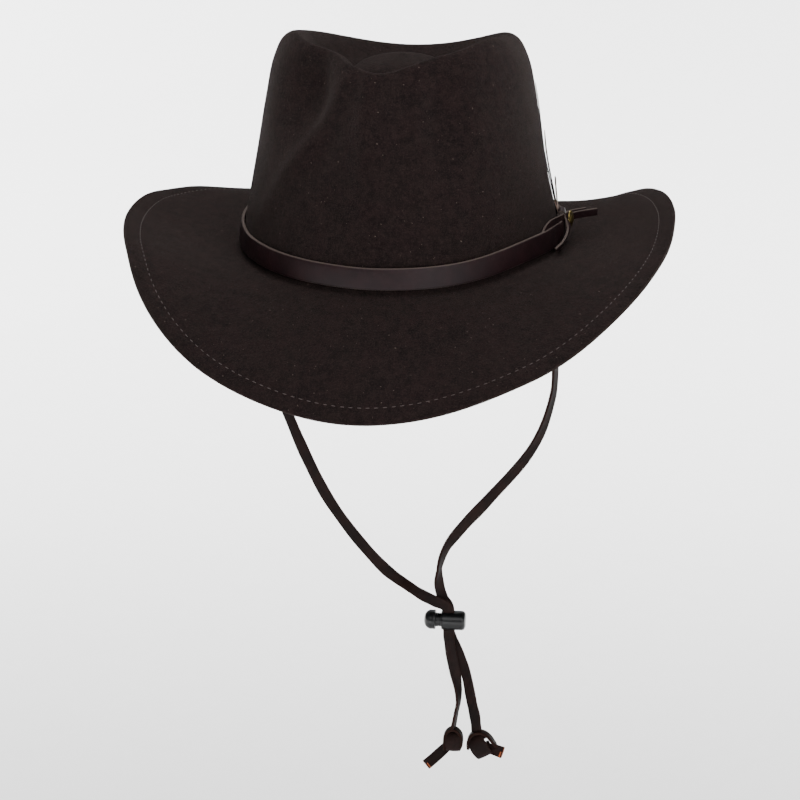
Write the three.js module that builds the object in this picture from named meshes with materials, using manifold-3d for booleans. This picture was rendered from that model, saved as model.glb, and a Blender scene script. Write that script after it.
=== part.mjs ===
// A bush hat of brown felt with a leather band, feathers and a leather chin strap.
// Millimetres, +Z up. The wearer looks along -Y and has the left hand at +X.
// The origin is the middle of the head opening, where the crown meets the brim.
import * as THREE from "three";
import { mergeVertices } from "three/addons/utils/BufferGeometryUtils.js";
import Module from "manifold-3d";

const wasm = await Module();
wasm.setup();

const { degToRad, lerp, smoothstep } = THREE.MathUtils;

// Driving dimensions of the felt
const HEAD_HALF_WIDTH = 83.5;
const HEAD_HALF_LENGTH = 103;
const CROWN_HEIGHT = 120;
const RIM_RISE = 9;
const RIM_LEAN = 1.2;
const FELT = 2;
const BREAK_RADIUS = 3.5;
const BRIM_SIDE = 63;
const BRIM_FRONT = 81;
const BRIM_BACK = 68;

// Driving dimensions of the hatband, its knot and the feathers
const CLEARANCE = 0.3;
const HATBAND_WIDTH = 11;
const HATBAND_LEATHER = 1.8;
const HATBAND_SEAT = 0.5;
const HATBAND_RISE = 0.5;
const KNOT_OFFSET = 5.5;
const KNOT_ROOM = 19;
const KNOT_EASE = 12;
const KEEPER_WIDTH = 11;
const KEEPER_LEATHER = 1.2;
const KEEPER_CORNER = 1.2;
const KEEPER_ROLL = 1.3;
const TAIL_WIDTH = 4;
const TAIL_LEATHER = 1.6;
const STUD_DIAMETER = 9.4;
const STUD_HEIGHT = 2.2;
const STUD_TURN = -10;
const QUILL = 1.2;
const VANE = 0.5;
const VANE_LAYER = 0.8;

// Driving dimensions of the sweatband, the chin strap and its toggle
const SWEATBAND_HEIGHT = 32;
const SWEATBAND_LEATHER = 1;
const LACE_WIDTH = 6;
const LACE_LEATHER = 1.6;
const LACE_POCKET = 0.75;
const LACE_HEIGHT = 10;
const TOGGLE_DIAMETER = 10.8;
const TOGGLE_LENGTH = 13.2;
const TOGGLE_WALL = 1.3;
const TOGGLE_HOLE = 3.9;
const TOGGLE_TRAVEL = 3;
const CAP_LENGTH = 6.4;
const RIM_EASE = 0.4;
const END_ROUND = 2.2;

// Mesh steps
const COLUMNS = 56;
const CROWN_STEPS = 17;
const BREAK_STEPS = 2;
const BRIM_STEPS = 7;
const BAND_STEPS = 54;
const SWEATBAND_STEPS = 44;
const QUILL_STEPS = 3;
const VANE_STEPS = 10;
const FREE_LACE_STEPS = 26;
const HELD_LACE_STEPS = 25;
const TURNED_SIDES = 18;

// Rows of a table as objects, one name for each column
function table(names, rows) {
  return rows.map((row) => Object.fromEntries(names.map((name, i) => [name, row[i]])));
}

// A value that is given at the hat's sides, front and back, at an angle round the head
function aroundHead(theta, right, left, front, back) {
  const side = Math.cos(theta) < 0 ? right : left;
  const end = Math.sin(theta) < 0 ? front : back;
  return side * Math.cos(theta) ** 2 + end * Math.sin(theta) ** 2;
}

// A smooth bump, 1 at its middle
function bell(distance) {
  return Math.exp(-(distance ** 2));
}

function angleBetween(a, b) {
  return Math.atan2(Math.sin(a - b), Math.cos(a - b));
}

// Crown sections from the middle of the top to the foot of the wall. The first three lengths are
// shares of the head's half width and half length, the next three of the crown's height, at the
// sides, ahead and behind. The last is the share of the rim's own rise and of its lean, by which
// the rim is higher on the wearer's left.
const CROWN = table(
  ["width", "front", "back", "side", "ahead", "behind", "rise"],
  [
    [0, 0, 0, 0.854, 0.854, 0.854, 0],
    [0.25, 0.252, 0.214, 0.79, 0.815, 0.79, 0],
    [0.4, 0.437, 0.369, 0.733, 0.758, 0.7, 0],
    [0.5, 0.553, 0.485, 0.8, 0.815, 0.715, 0.4],
    [0.59, 0.66, 0.583, 0.89, 0.887, 0.746, 0.85],
    [0.665, 0.714, 0.65, 0.923, 0.9, 0.764, 1],
    [0.735, 0.748, 0.718, 0.902, 0.875, 0.737, 0.9],
    [0.8, 0.782, 0.777, 0.82, 0.816, 0.667, 0.55],
    [0.845, 0.843, 0.852, 0.683, 0.683, 0.55, 0.15],
    [0.905, 0.91, 0.919, 0.44, 0.44, 0.367, 0],
    [0.98, 0.982, 0.982, 0.142, 0.142, 0.142, 0],
  ],
);

// How far the rim of the crown rises to its two front peaks, as shares of their rise, at angles
// in degrees from the side towards the front
const RIM = table(
  ["angle", "rise"],
  [
    [-90, 0],
    [-40, 0],
    [-20, 0.05],
    [-5, 0.25],
    [8, 0.65],
    [20, 1],
    [30, 0.91],
    [45, 0.79],
    [60, 0.61],
    [75, 0.35],
    [90, 0],
  ],
);

// Dents pressed into the crown by hand. Angles are in degrees round the head from the wearer's
// left, heights are shares of the crown's height, and the push is a share of the head's half width.
const DENTS = table(
  ["angle", "height", "spread", "tall", "push"],
  [
    [-127, 0.8, 15, 0.2, 0.1],
    [-108, 0.45, 16, 0.22, 0.03],
    [-66, 0.7, 9, 0.3, 0.05],
    [-93, 0.62, 8, 0.4, -0.03],
    [14, 0.38, 14, 0.2, 0.02],
  ],
);

// Slope of the brim in degrees, up to the outside, at its foot, middle and edge. One row for each
// twelfth of the way round the head, from the wearer's left by way of the back.
const BRIM = table(
  ["foot", "middle", "edge"],
  [
    [6, 15, 26],
    [4, 11, 20],
    [-10, -16, -23],
    [-12, -20, -28],
    [-8, -13, -18],
    [2, 4, 6],
    [7, 14, 23],
    [3, 11, 20],
    [-15, -25, -35],
    [-24, -40, -50],
    [-14, -23, -30],
    [0, 2, 4],
  ],
);

function planNormal(theta) {
  const x = Math.cos(theta) / HEAD_HALF_WIDTH;
  const y = Math.sin(theta) / HEAD_HALF_LENGTH;
  return new THREE.Vector3(x, y, 0).normalize();
}

function rimRise(theta) {
  const toFront = -Math.atan2(Math.sin(theta), Math.abs(Math.cos(theta)));
  const next = Math.max(1, RIM.findIndex((row) => degToRad(row.angle) >= toFront - 1e-9));
  const from = degToRad(RIM[next - 1].angle);
  const part = (toFront - from) / (degToRad(RIM[next].angle) - from);
  return lerp(RIM[next - 1].rise, RIM[next].rise, part);
}

function crownPoint(row, theta) {
  const length = Math.sin(theta) < 0 ? row.front : row.back;
  const x = HEAD_HALF_WIDTH * row.width * Math.cos(theta);
  const y = HEAD_HALF_LENGTH * length * Math.sin(theta);
  const level = CROWN_HEIGHT * aroundHead(theta, row.side, row.side, row.ahead, row.behind);
  const own = RIM_RISE * rimRise(theta) + RIM_LEAN * Math.cos(theta);
  return new THREE.Vector3(x, y, level + row.rise * own);
}

// A point of the crown with the dents in it, which fade out towards the middle of the top
function dented(point, theta) {
  const fromMiddle = Math.hypot(point.x / HEAD_HALF_WIDTH, point.y / HEAD_HALF_LENGTH);
  const reach = smoothstep(fromMiddle, 0.25, 0.65);
  let push = 0;
  for (const dent of DENTS) {
    const up = point.z / CROWN_HEIGHT - dent.height;
    const around = angleBetween(theta, degToRad(dent.angle)) / degToRad(dent.spread);
    push += HEAD_HALF_WIDTH * dent.push * bell(around) * bell(up / dent.tall);
  }
  return point.addScaledVector(planNormal(theta), -push * reach);
}

// The crown's section at one angle, as a curve from the middle of the top to the foot of the wall
function crownCurve(theta) {
  const points = CROWN.map((row) => crownPoint(row, theta));
  const foot = { width: 1, front: 1, back: 1, side: 0, ahead: 0, behind: 0, rise: 0 };
  points.push(crownPoint(foot, theta).setZ(BREAK_RADIUS));
  return new THREE.CatmullRomCurve3(points, false, "centripetal");
}

// A periodic curve through one column of the brim's table
function brimColumn(name, theta) {
  const turn = ((theta / (2 * Math.PI)) * BRIM.length + BRIM.length) % BRIM.length;
  const row = Math.floor(turn);
  const part = turn - row;
  const [a, b, c, d] = [-1, 0, 1, 2].map((k) => BRIM[(row + k + BRIM.length) % BRIM.length][name]);
  const bend = (c - a + part * (2 * a - 5 * b + 4 * c - d + part * (3 * b - a - 3 * c + d))) / 2;
  return b + part * bend;
}

function brimSlope(theta, share) {
  const [foot, middle, edge] = ["foot", "middle", "edge"].map((name) => brimColumn(name, theta));
  const slope = share < 0.5 ? lerp(foot, middle, 2 * share) : lerp(middle, edge, 2 * share - 1);
  return degToRad(slope);
}

// The felt's outer face at one angle, from next to the middle of the top to the brim's edge
function feltSection(theta) {
  const curve = crownCurve(theta);
  const points = [];
  for (let i = 1; i <= CROWN_STEPS; i++) points.push(dented(curve.getPoint(i / CROWN_STEPS), theta));
  const outward = planNormal(theta);
  const width = aroundHead(theta, BRIM_SIDE, BRIM_SIDE, BRIM_FRONT, BRIM_BACK);
  const wall = curve.getTangent(1);
  let heading = Math.atan2(wall.z, wall.dot(outward));
  const turn = brimSlope(theta, 0) - heading;
  let point = points[points.length - 1];
  const walk = (angle, distance) => {
    point = point.clone().addScaledVector(outward, distance * Math.cos(angle));
    point.z += distance * Math.sin(angle);
    points.push(point);
  };
  for (let i = 0; i < BREAK_STEPS; i++) {
    const step = turn / BREAK_STEPS;
    walk(heading + step / 2, 2 * BREAK_RADIUS * Math.sin(step / 2));
    heading += step;
  }
  for (let i = 0; i < BRIM_STEPS; i++) {
    walk(brimSlope(theta, (i + 0.5) / BRIM_STEPS), (width - BREAK_RADIUS) / BRIM_STEPS);
  }
  return points;
}

// A geometry from points and triangles
function meshOf(points, faces) {
  const geometry = new THREE.BufferGeometry().setFromPoints(points);
  geometry.setIndex(faces);
  return geometry;
}

// Triangles of a grid of rings, whose columns close on themselves
function gridFaces(rows, columns, first) {
  const faces = [];
  for (let i = 0; i < rows - 1; i++) {
    for (let j = 0; j < columns; j++) {
      const a = first + i * columns + j;
      const b = first + i * columns + ((j + 1) % columns);
      faces.push(a, a + columns, b, b, a + columns, b + columns);
    }
  }
  return faces;
}

// Crown and brim: one sheet of felt, open below
function feltBody() {
  const sections = [];
  for (let j = 0; j < COLUMNS; j++) sections.push(feltSection((2 * Math.PI * j) / COLUMNS));
  const rows = sections[0].length;
  const outer = [crownCurve(0).getPoint(0)];
  for (let i = 0; i < rows; i++) outer.push(...sections.map((section) => section[i]));
  const faces = gridFaces(rows, COLUMNS, 1);
  for (let j = 0; j < COLUMNS; j++) faces.push(0, 1 + j, 1 + ((j + 1) % COLUMNS));
  const sheet = meshOf(outer, faces);
  sheet.computeVertexNormals();
  const normals = sheet.getAttribute("normal");
  const inner = outer.map((point, i) =>
    point.clone().addScaledVector(new THREE.Vector3().fromBufferAttribute(normals, i), -FELT),
  );
  const count = outer.length;
  const under = [];
  for (let k = 0; k < faces.length; k += 3) {
    under.push(count + faces[k], count + faces[k + 2], count + faces[k + 1]);
  }
  const edge = count - COLUMNS;
  const rim = [];
  for (let j = 0; j < COLUMNS; j++) {
    const a = edge + j;
    const b = edge + ((j + 1) % COLUMNS);
    rim.push(a, count + a, b, b, count + a, count + b);
  }
  return meshOf([...outer, ...inner], [...faces, ...under, ...rim]);
}

// The point of the crown's wall at a height, found by halving the stretch below the rim
function wallPoint(theta, height) {
  const curve = crownCurve(theta);
  let above = 0.5;
  let below = 1;
  for (let i = 0; i < 20; i++) {
    const middle = (above + below) / 2;
    if (curve.getPoint(middle).z > height) above = middle;
    else below = middle;
  }
  return dented(curve.getPoint(below), theta);
}

// A point at a distance outside the crown's wall, or inside it where the distance is negative
function besideWall(theta, height, distance) {
  return wallPoint(theta, height).setZ(height).addScaledVector(planNormal(theta), distance);
}

function outwardsFacing(geometry) {
  const index = geometry.getIndex().array;
  const position = geometry.getAttribute("position");
  const corner = [0, 1, 2].map(() => new THREE.Vector3());
  let volume = 0;
  for (let k = 0; k < index.length; k += 3) {
    corner.forEach((point, i) => point.fromBufferAttribute(position, index[k + i]));
    volume += corner[0].dot(corner[1].cross(corner[2]));
  }
  if (volume < 0) index.reverse();
  return geometry;
}

// A strip of leather with eased edges. place gives the point for a place across the strip and
// through its leather, both from -0.5 to 0.5, and along it, from 0 to 1.
function strip(steps, place) {
  const eased = [[0.5, 0.25], [0.46, 0.5], [-0.46, 0.5], [-0.5, 0.25]];
  const corners = [...eased, ...eased.map(([x, y]) => [-x, -y])];
  const section = new THREE.Shape(corners.map(([x, y]) => new THREE.Vector2(x, y)));
  const bar = new THREE.ExtrudeGeometry(section, { depth: 1, steps, bevelEnabled: false });
  bar.deleteAttribute("normal");
  bar.deleteAttribute("uv");
  const geometry = mergeVertices(bar);
  const position = geometry.getAttribute("position");
  for (let i = 0; i < position.count; i++) {
    const point = place(position.getX(i), position.getY(i), position.getZ(i));
    position.setXYZ(i, point.x, point.y, point.z);
  }
  return outwardsFacing(geometry);
}

// A strip along a curve, with a width, a leather and the direction that its face looks in
function stripAlong(curve, width, leather, steps, facing) {
  return strip(steps, (across, through, along) => {
    const tangent = curve.getTangent(along);
    const sideways = new THREE.Vector3().crossVectors(tangent, facing(along)).normalize();
    const face = new THREE.Vector3().crossVectors(sideways, tangent);
    const point = curve.getPoint(along).addScaledVector(sideways, across * width);
    return point.addScaledVector(face, through * leather);
  });
}

function smoothCurve(points) {
  return new THREE.CatmullRomCurve3(points, false, "centripetal");
}

function planDirection(angle) {
  return new THREE.Vector3(Math.cos(angle), Math.sin(angle), 0);
}

// Solids for joining and cutting
function solid(geometry) {
  const bare = geometry.clone();
  bare.deleteAttribute("normal");
  bare.deleteAttribute("uv");
  const merged = mergeVertices(bare, 1e-3);
  const vertProperties = merged.getAttribute("position").array;
  const triVerts = new Uint32Array(merged.getIndex().array);
  return new wasm.Manifold(new wasm.Mesh({ numProp: 3, vertProperties, triVerts }));
}

function geometryOf(manifold) {
  const mesh = manifold.getMesh();
  const geometry = new THREE.BufferGeometry();
  geometry.setAttribute("position", new THREE.BufferAttribute(mesh.vertProperties, 3));
  geometry.setIndex(new THREE.BufferAttribute(mesh.triVerts, 1));
  return geometry;
}

// Hatband: a leather strap round the foot of the crown. Its ends meet under the keeper, and there
// it stands off the felt by the keeper's leather and the feathers' quills.
const BAND_FOOT = BREAK_RADIUS + HATBAND_RISE;
const BAND_TOP = BAND_FOOT + HATBAND_WIDTH;
const KNOT_ANGLE = Math.asin(KNOT_OFFSET / HEAD_HALF_LENGTH);
const STAND_OFF = Math.max(QUILL, KEEPER_LEATHER) + 2 * HATBAND_SEAT;

// Millimetres round the head from the knot towards the back
function behindKnot(theta) {
  return HEAD_HALF_LENGTH * angleBetween(theta, KNOT_ANGLE);
}

function bandGap(theta) {
  const along = behindKnot(theta);
  const front = smoothstep(along, -KEEPER_WIDTH - KNOT_EASE, -KEEPER_WIDTH);
  const back = 1 - smoothstep(along, KNOT_ROOM, KNOT_ROOM + KNOT_EASE);
  return lerp(HATBAND_SEAT, STAND_OFF, front * back);
}

function hatband() {
  const joint = CLEARANCE / HEAD_HALF_LENGTH;
  return strip(BAND_STEPS, (across, through, along) => {
    const theta = KNOT_ANGLE + lerp(joint / 2, 2 * Math.PI - joint / 2, along);
    const height = BAND_FOOT + (across + 0.5) * HATBAND_WIDTH;
    const distance = bandGap(theta) + (through + 0.5) * HATBAND_LEATHER;
    return besideWall(theta, height, distance);
  });
}

// Keeper: a strip wound once round the band at its joint, thicker in a roll over the top edge.
// Its path is a list of distances from the wall and heights, from its inner end to its outer one.
function keeperPath() {
  const inner = HATBAND_SEAT + KEEPER_LEATHER / 2;
  const outer = STAND_OFF + HATBAND_LEATHER + HATBAND_SEAT + KEEPER_LEATHER / 2;
  const low = BAND_FOOT - CLEARANCE - KEEPER_LEATHER / 2;
  const high = BAND_TOP + CLEARANCE + KEEPER_LEATHER / 2;
  return [
    [inner, high - KEEPER_CORNER],
    [inner, (low + high) / 2],
    [inner, low + KEEPER_CORNER],
    [lerp(inner, outer, 0.25), low],
    [lerp(inner, outer, 0.75), low],
    [outer, low + KEEPER_CORNER],
    [outer, (low + high) / 2],
    [outer, high - KEEPER_CORNER / 2],
    [lerp(inner, outer, 0.8), high + KEEPER_ROLL],
    [lerp(inner, outer, 0.45), high + KEEPER_ROLL],
    [lerp(inner, outer, 0.2), high + KEEPER_ROLL / 2],
  ];
}

function besideKnot(behind, distance, height) {
  return besideWall(KNOT_ANGLE + behind / HEAD_HALF_LENGTH, height, distance);
}

function keeper() {
  const path = smoothCurve(keeperPath().map(([out, up]) => new THREE.Vector3(out, 0, up)));
  return strip(20, (across, through, along) => {
    const tangent = path.getTangent(along);
    const at = path.getPoint(along);
    const out = at.x + tangent.z * through * KEEPER_LEATHER;
    const up = at.z - tangent.x * through * KEEPER_LEATHER;
    return besideKnot(across * KEEPER_WIDTH, out, up);
  });
}

const KEEPER_FACE = STAND_OFF + HATBAND_LEATHER + HATBAND_SEAT + KEEPER_LEATHER;

// Tails: the two narrow ends of the knot, which lift off in a curve. Start and end are
// millimetres behind the knot, seat and reach are millimetres from the wall and from the seat.
const TAILS = table(
  ["name", "start", "end", "seat", "reach", "bend"],
  [
    ["band_tail_front", 5.2, 15.5, KEEPER_FACE, 13.4, 1.7],
    ["band_tail_back", 6.4, 17, STAND_OFF + HATBAND_LEATHER, 9.1, 2.5],
  ],
);

function tail({ start, end, seat, reach, bend }) {
  const height = BAND_TOP - TAIL_WIDTH / 2;
  const foot = seat + CLEARANCE + TAIL_LEATHER / 2;
  const points = [0, 0.25, 0.5, 0.75, 1].map((along) =>
    besideKnot(lerp(start, end, along), foot + reach * along ** bend, height),
  );
  const curve = smoothCurve(points);
  const up = new THREE.Vector3(0, 0, 1);
  return stripAlong(curve, TAIL_WIDTH, TAIL_LEATHER, 8, (along) =>
    new THREE.Vector3().crossVectors(curve.getTangent(along), up),
  );
}

// Stud: a plain round brass button on the keeper's face, with a stepped rim. Its profile is in
// shares of its radius and its height.
const STUD_RIM = [[0, 0], [0.92, 0], [1, 0.14], [1, 0.32], [0.89, 0.5]];
const STUD_FACE = [[0.72, 0.5], [0.6, 0.8], [0.3, 1], [0, 1]];

function stud() {
  const profile = [...STUD_RIM, ...STUD_FACE].map(
    ([out, up]) => new THREE.Vector2((out * STUD_DIAMETER) / 2, up * STUD_HEIGHT),
  );
  return new THREE.LatheGeometry(profile, TURNED_SIDES).rotateZ(-Math.PI / 2);
}

// Feathers: each lies up the crown's wall in a layer of its own, with its quill behind the band.
// Places are millimetres behind the knot, top is a share of the crown's height.
const FEATHERS = table(
  ["name", "quill", "tip", "top", "width", "layer", "color"],
  [
    ["feather_long", 9.8, 11, 0.72, 13, 0, 0x2a2523],
    ["feather_barred", 12.8, 12, 0.5, 14, 1, 0x8a7258],
    ["feather_cream", 6.8, 6, 0.3, 9, 2, 0xcbbfa8],
  ],
);
const VANE_OUTLINE = [[0, 0], [0.1, 0.5], [0.28, 0.95], [0.5, 1], [0.75, 0.8], [0.92, 0.45], [1, 0.12]];
const VANE_START = BAND_TOP + 5;

function vaneWidth(share) {
  if (share <= 0) return 0;
  const next = Math.max(1, VANE_OUTLINE.findIndex(([along]) => along >= share - 1e-6));
  const [from, to] = [VANE_OUTLINE[next - 1], VANE_OUTLINE[next]];
  return lerp(from[1], to[1], (share - from[0]) / (to[0] - from[0]));
}

function feather({ quill, tip, top, width, layer }) {
  const foot = BAND_FOOT + 1;
  const end = top * CROWN_HEIGHT;
  const quillShare = QUILL_STEPS / (QUILL_STEPS + VANE_STEPS);
  return strip(QUILL_STEPS + VANE_STEPS, (across, through, along) => {
    const bare = Math.min(1, along / quillShare);
    const vaned = Math.max(0, (along - quillShare) / (1 - quillShare));
    const height = lerp(lerp(foot, VANE_START, bare), end, vaned);
    const vane = vaneWidth((height - VANE_START) / (end - VANE_START));
    const behind = lerp(quill, tip, along) + across * Math.max(QUILL, vane * width);
    const above = smoothstep(height, BAND_TOP, VANE_START);
    const thick = lerp(QUILL, VANE, above);
    const lift = layer * VANE_LAYER * above;
    return besideKnot(behind, HATBAND_SEAT + lift + (through + 0.5) * thick, height);
  });
}

// Sweatband: a plain leather band inside the head opening, with a pocket for the strap's held
// stretch between it and the felt at the sides and the back
function pocketWidth(theta) {
  const room = LACE_LEATHER + 2 * LACE_POCKET;
  return aroundHead(theta, room, room, HATBAND_SEAT, room);
}

function sweatband() {
  const seam = CLEARANCE / HEAD_HALF_LENGTH;
  return strip(SWEATBAND_STEPS, (across, through, along) => {
    const theta = Math.PI / 2 + lerp(seam / 2, 2 * Math.PI - seam / 2, along);
    const height = Math.max(BREAK_RADIUS, (across + 0.5) * SWEATBAND_HEIGHT);
    const distance = -FELT - pocketWidth(theta) + (through - 0.5) * SWEATBAND_LEATHER;
    return besideWall(theta, height, distance).setZ((across + 0.5) * SWEATBAND_HEIGHT);
  });
}

// Chin strap: one flat leather lace that goes round the back between felt and sweatband, comes
// out at the two sides, runs through the toggle and ends in two knots
function pocketPoint(theta, height) {
  const point = besideWall(theta, Math.max(BREAK_RADIUS, height), -FELT - pocketWidth(theta) / 2);
  return point.setZ(height);
}

// Half of the held stretch: degrees round the head from its side, and shares of the lace's height
const HELD_HALF = [[0, 0], [0, 0.35], [2.4, 0.8], [7, 1], [20, 1], [40, 1], [60, 1], [80, 1]];

function heldLace() {
  const mirrored = HELD_HALF.map(([angle, height]) => [180 - angle, height]).reverse();
  const route = [...HELD_HALF, ...mirrored];
  const curve = smoothCurve(
    route.map(([angle, height]) => pocketPoint(degToRad(angle), height * LACE_HEIGHT)),
  );
  return stripAlong(curve, LACE_WIDTH, LACE_LEATHER, HELD_LACE_STEPS, (along) => {
    const point = curve.getPoint(along);
    return planNormal(Math.atan2(point.y / HEAD_HALF_LENGTH, point.x / HEAD_HALF_WIDTH));
  });
}

// The free laces' chosen routes in millimetres, from the hat's side through the toggle to the
// knot, and the direction in plan that the flat face looks in, in degrees
const LEFT_LACE = table(
  ["x", "y", "z", "facing"],
  [
    [-79.95, 0, -0.4, 180],
    [-79.95, 0, -6, 180],
    [-79.4, 0, -16, 186],
    [-77.2, 0, -40, 205],
    [-70.5, 0, -75, 245],
    [-61.5, 0, -101, 265],
    [-51.3, 0, -125.5, 270],
    [-39.4, 0, -148.8, 270],
    [-23.6, 0, -170.9, 275],
    [-8.2, 0, -187.9, 310],
    [2, -0.2, -195.3, 335],
    [11, -1.1, -200.8, 315],
    [18.4, -1.4, -204.2, 280],
    [24.4, -1.05, -206.9, 270],
    [26.2, -0.95, -210, 270],
    [26.2, -0.95, -221.4, 270],
    [26.5, -1.05, -227, 271],
    [28.4, -1.3, -238.8, 290],
    [31, -1.4, -252, 322],
    [31.8, -1.4, -263, 348],
    [30.3, -1.4, -271.5, 350],
    [29.3, -1.4, -278, 345],
  ],
);
const RIGHT_LACE = table(
  ["x", "y", "z", "facing"],
  [
    [79.95, 0, -0.4, 360],
    [80, 0, -6, 360],
    [80.6, 0, -16, 358],
    [82.2, 0, -42, 345],
    [82.9, 0, -72.9, 338],
    [81.1, 0, -86.2, 333],
    [76.2, 0, -103.2, 322],
    [66.9, 0, -120.4, 300],
    [47.1, 0, -144.9, 275],
    [32.5, 0, -162.1, 290],
    [24.3, 0.2, -174.4, 320],
    [20.4, 1.1, -186.6, 345],
    [20.6, 1.8, -196, 310],
    [22.6, 1.6, -202.8, 275],
    [25.5, 1.1, -207.2, 270],
    [26.2, 0.95, -210, 270],
    [26.2, 0.95, -221.4, 270],
    [27.7, 1.1, -226.5, 269],
    [32.6, 1.4, -238, 262],
    [36.4, 1.5, -250, 255],
    [39, 1.5, -264.8, 250],
    [41, 1.5, -273.8, 257],
    [41.4, 1.5, -279.6, 262],
  ],
);

function freeLace(route) {
  const curve = smoothCurve(route.map(({ x, y, z }) => new THREE.Vector3(x, y, z)));
  return stripAlong(curve, LACE_WIDTH, LACE_LEATHER, FREE_LACE_STEPS, (along) => {
    const row = Math.min(Math.floor(along * (route.length - 1)), route.length - 2);
    const part = along * (route.length - 1) - row;
    return planDirection(degToRad(lerp(route[row].facing, route[row + 1].facing, part)));
  });
}

// Knots: a turn of the lace round a level line, and its cut end, which comes out of the turn
// sideways. Width, depth and height are shares of the lace's width. The turn's shift and the tip
// are millimetres from the lace's last point.
const KNOT_LEATHER = 1.15 * LACE_LEATHER;
const KNOTS = table(
  ["name", "lace", "width", "deep", "tall", "shift", "aside", "down"],
  [
    ["knot_left", LEFT_LACE, 1.5, 0.6, 1, -0.6, -13.5, 23.5],
    ["knot_right", RIGHT_LACE, 1.9, 0.65, 1.08, 2.5, 15.5, 15],
  ],
);

function knot({ lace, width, deep, tall, shift, aside, down }) {
  const { x, y, z } = lace[lace.length - 1];
  const [wide, halfDeep, halfTall] = [width, deep, tall].map((share) => share * LACE_WIDTH);
  const middle = z - CLEARANCE - KNOT_LEATHER / 2 - halfTall;
  const centre = new THREE.Vector3(x + shift, y, middle);
  const turn = strip(18, (across, through, along) => {
    const angle = degToRad(lerp(98, 442, along));
    const forward = (halfDeep + through * KNOT_LEATHER) * Math.cos(angle);
    const upward = (halfTall + through * KNOT_LEATHER) * Math.sin(angle);
    return new THREE.Vector3(across * wide, forward, upward).add(centre);
  });
  const tip = new THREE.Vector3(x + aside, y, z - down);
  const end = new THREE.LineCurve3(centre, tip);
  const tab = stripAlong(end, LACE_WIDTH, KNOT_LEATHER, 1, () => new THREE.Vector3(0, -1, 0));
  return geometryOf(solid(turn).add(solid(tab)));
}

// Toggle: a barrel along X with a cross hole for both laces, and a plunger with a longer slot
// that slides in it. Lengths along the toggle start at the barrel's open rim.
const TOGGLE_RADIUS = TOGGLE_DIAMETER / 2;
const TOGGLE_CENTRE = new THREE.Vector3(LEFT_LACE[14].x, 0, -215.6);
const HOLE_WIDTH = LACE_WIDTH + 2 * CLEARANCE;
const HOLE_DEPTH = 2 * LACE_LEATHER + 4 * CLEARANCE;
const BORE = TOGGLE_RADIUS - TOGGLE_WALL;

function turnedAlongX(profile) {
  const points = profile.map(([radius, along]) => new THREE.Vector2(radius, along));
  return new THREE.LatheGeometry(points, TURNED_SIDES).rotateZ(-Math.PI / 2);
}

function crossHole(from, to) {
  const box = new THREE.BoxGeometry(to - from, HOLE_DEPTH, 2 * TOGGLE_DIAMETER);
  return box.translate((from + to) / 2, 0, 0);
}

function toggleBarrel() {
  const profile = [
    [0, TOGGLE_LENGTH - TOGGLE_WALL],
    [BORE, TOGGLE_LENGTH - TOGGLE_WALL],
    [BORE, 0],
    [TOGGLE_RADIUS - RIM_EASE, 0],
    [TOGGLE_RADIUS, RIM_EASE],
    [TOGGLE_RADIUS, TOGGLE_LENGTH - END_ROUND],
    [TOGGLE_RADIUS - 0.3 * END_ROUND, TOGGLE_LENGTH - 0.35 * END_ROUND],
    [TOGGLE_RADIUS - END_ROUND, TOGGLE_LENGTH],
    [0, TOGGLE_LENGTH],
  ];
  const hole = crossHole(TOGGLE_HOLE - HOLE_WIDTH / 2, TOGGLE_HOLE + HOLE_WIDTH / 2);
  return geometryOf(solid(turnedAlongX(profile)).subtract(solid(hole)));
}

// The plunger's domed cap: shares of the toggle's radius and of the cap's length
const CAP_PROFILE = [[0, 1], [0.55, 0.96], [0.86, 0.82], [1, 0.55]];

function togglePlunger() {
  const stem = BORE - CLEARANCE;
  const neck = -TOGGLE_TRAVEL - CLEARANCE;
  const end = TOGGLE_LENGTH - TOGGLE_WALL - TOGGLE_TRAVEL - CLEARANCE;
  const profile = [
    ...CAP_PROFILE.map(([out, along]) => [out * TOGGLE_RADIUS, neck - along * CAP_LENGTH]),
    [TOGGLE_RADIUS, neck - RIM_EASE],
    [TOGGLE_RADIUS - RIM_EASE, neck],
    [stem, neck],
    [stem, end],
    [0, end],
  ];
  const slotEnd = TOGGLE_HOLE + HOLE_WIDTH / 2;
  const slot = crossHole(slotEnd - HOLE_WIDTH - TOGGLE_TRAVEL, slotEnd);
  return geometryOf(solid(turnedAlongX(profile)).subtract(solid(slot)));
}

const finish = (color, roughness, metalness = 0) =>
  new THREE.MeshStandardMaterial({ color, roughness, metalness });
const felt = finish(0x2f2524, 0.95);
const bandLeather = finish(0x2a1c1c, 0.45);
const laceLeather = finish(0x1c1817, 0.6);
const brass = finish(0x8a7440, 0.35, 1);
const plastic = finish(0x1e1d1e, 0.4);
const root = new THREE.Group();

function piece(name, geometry, material) {
  const mesh = new THREE.Mesh(geometry, material);
  mesh.name = name;
  root.add(mesh);
  return mesh;
}

piece("felt_body", feltBody(), felt);
piece("hatband", hatband(), bandLeather);
piece("band_keeper", keeper(), bandLeather);
TAILS.forEach((row) => piece(row.name, tail(row), bandLeather));

const buttonAngle = KNOT_ANGLE + degToRad(STUD_TURN);
const button = piece("stud", stud(), brass);
const buttonSeat = KEEPER_FACE + CLEARANCE - (STUD_DIAMETER / 2) * Math.sin(degToRad(STUD_TURN));
button.position.copy(besideKnot(0, buttonSeat, BAND_TOP - 1.5));
button.rotation.z = buttonAngle;

FEATHERS.forEach((row) => piece(row.name, feather(row), finish(row.color, 0.8)));

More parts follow.
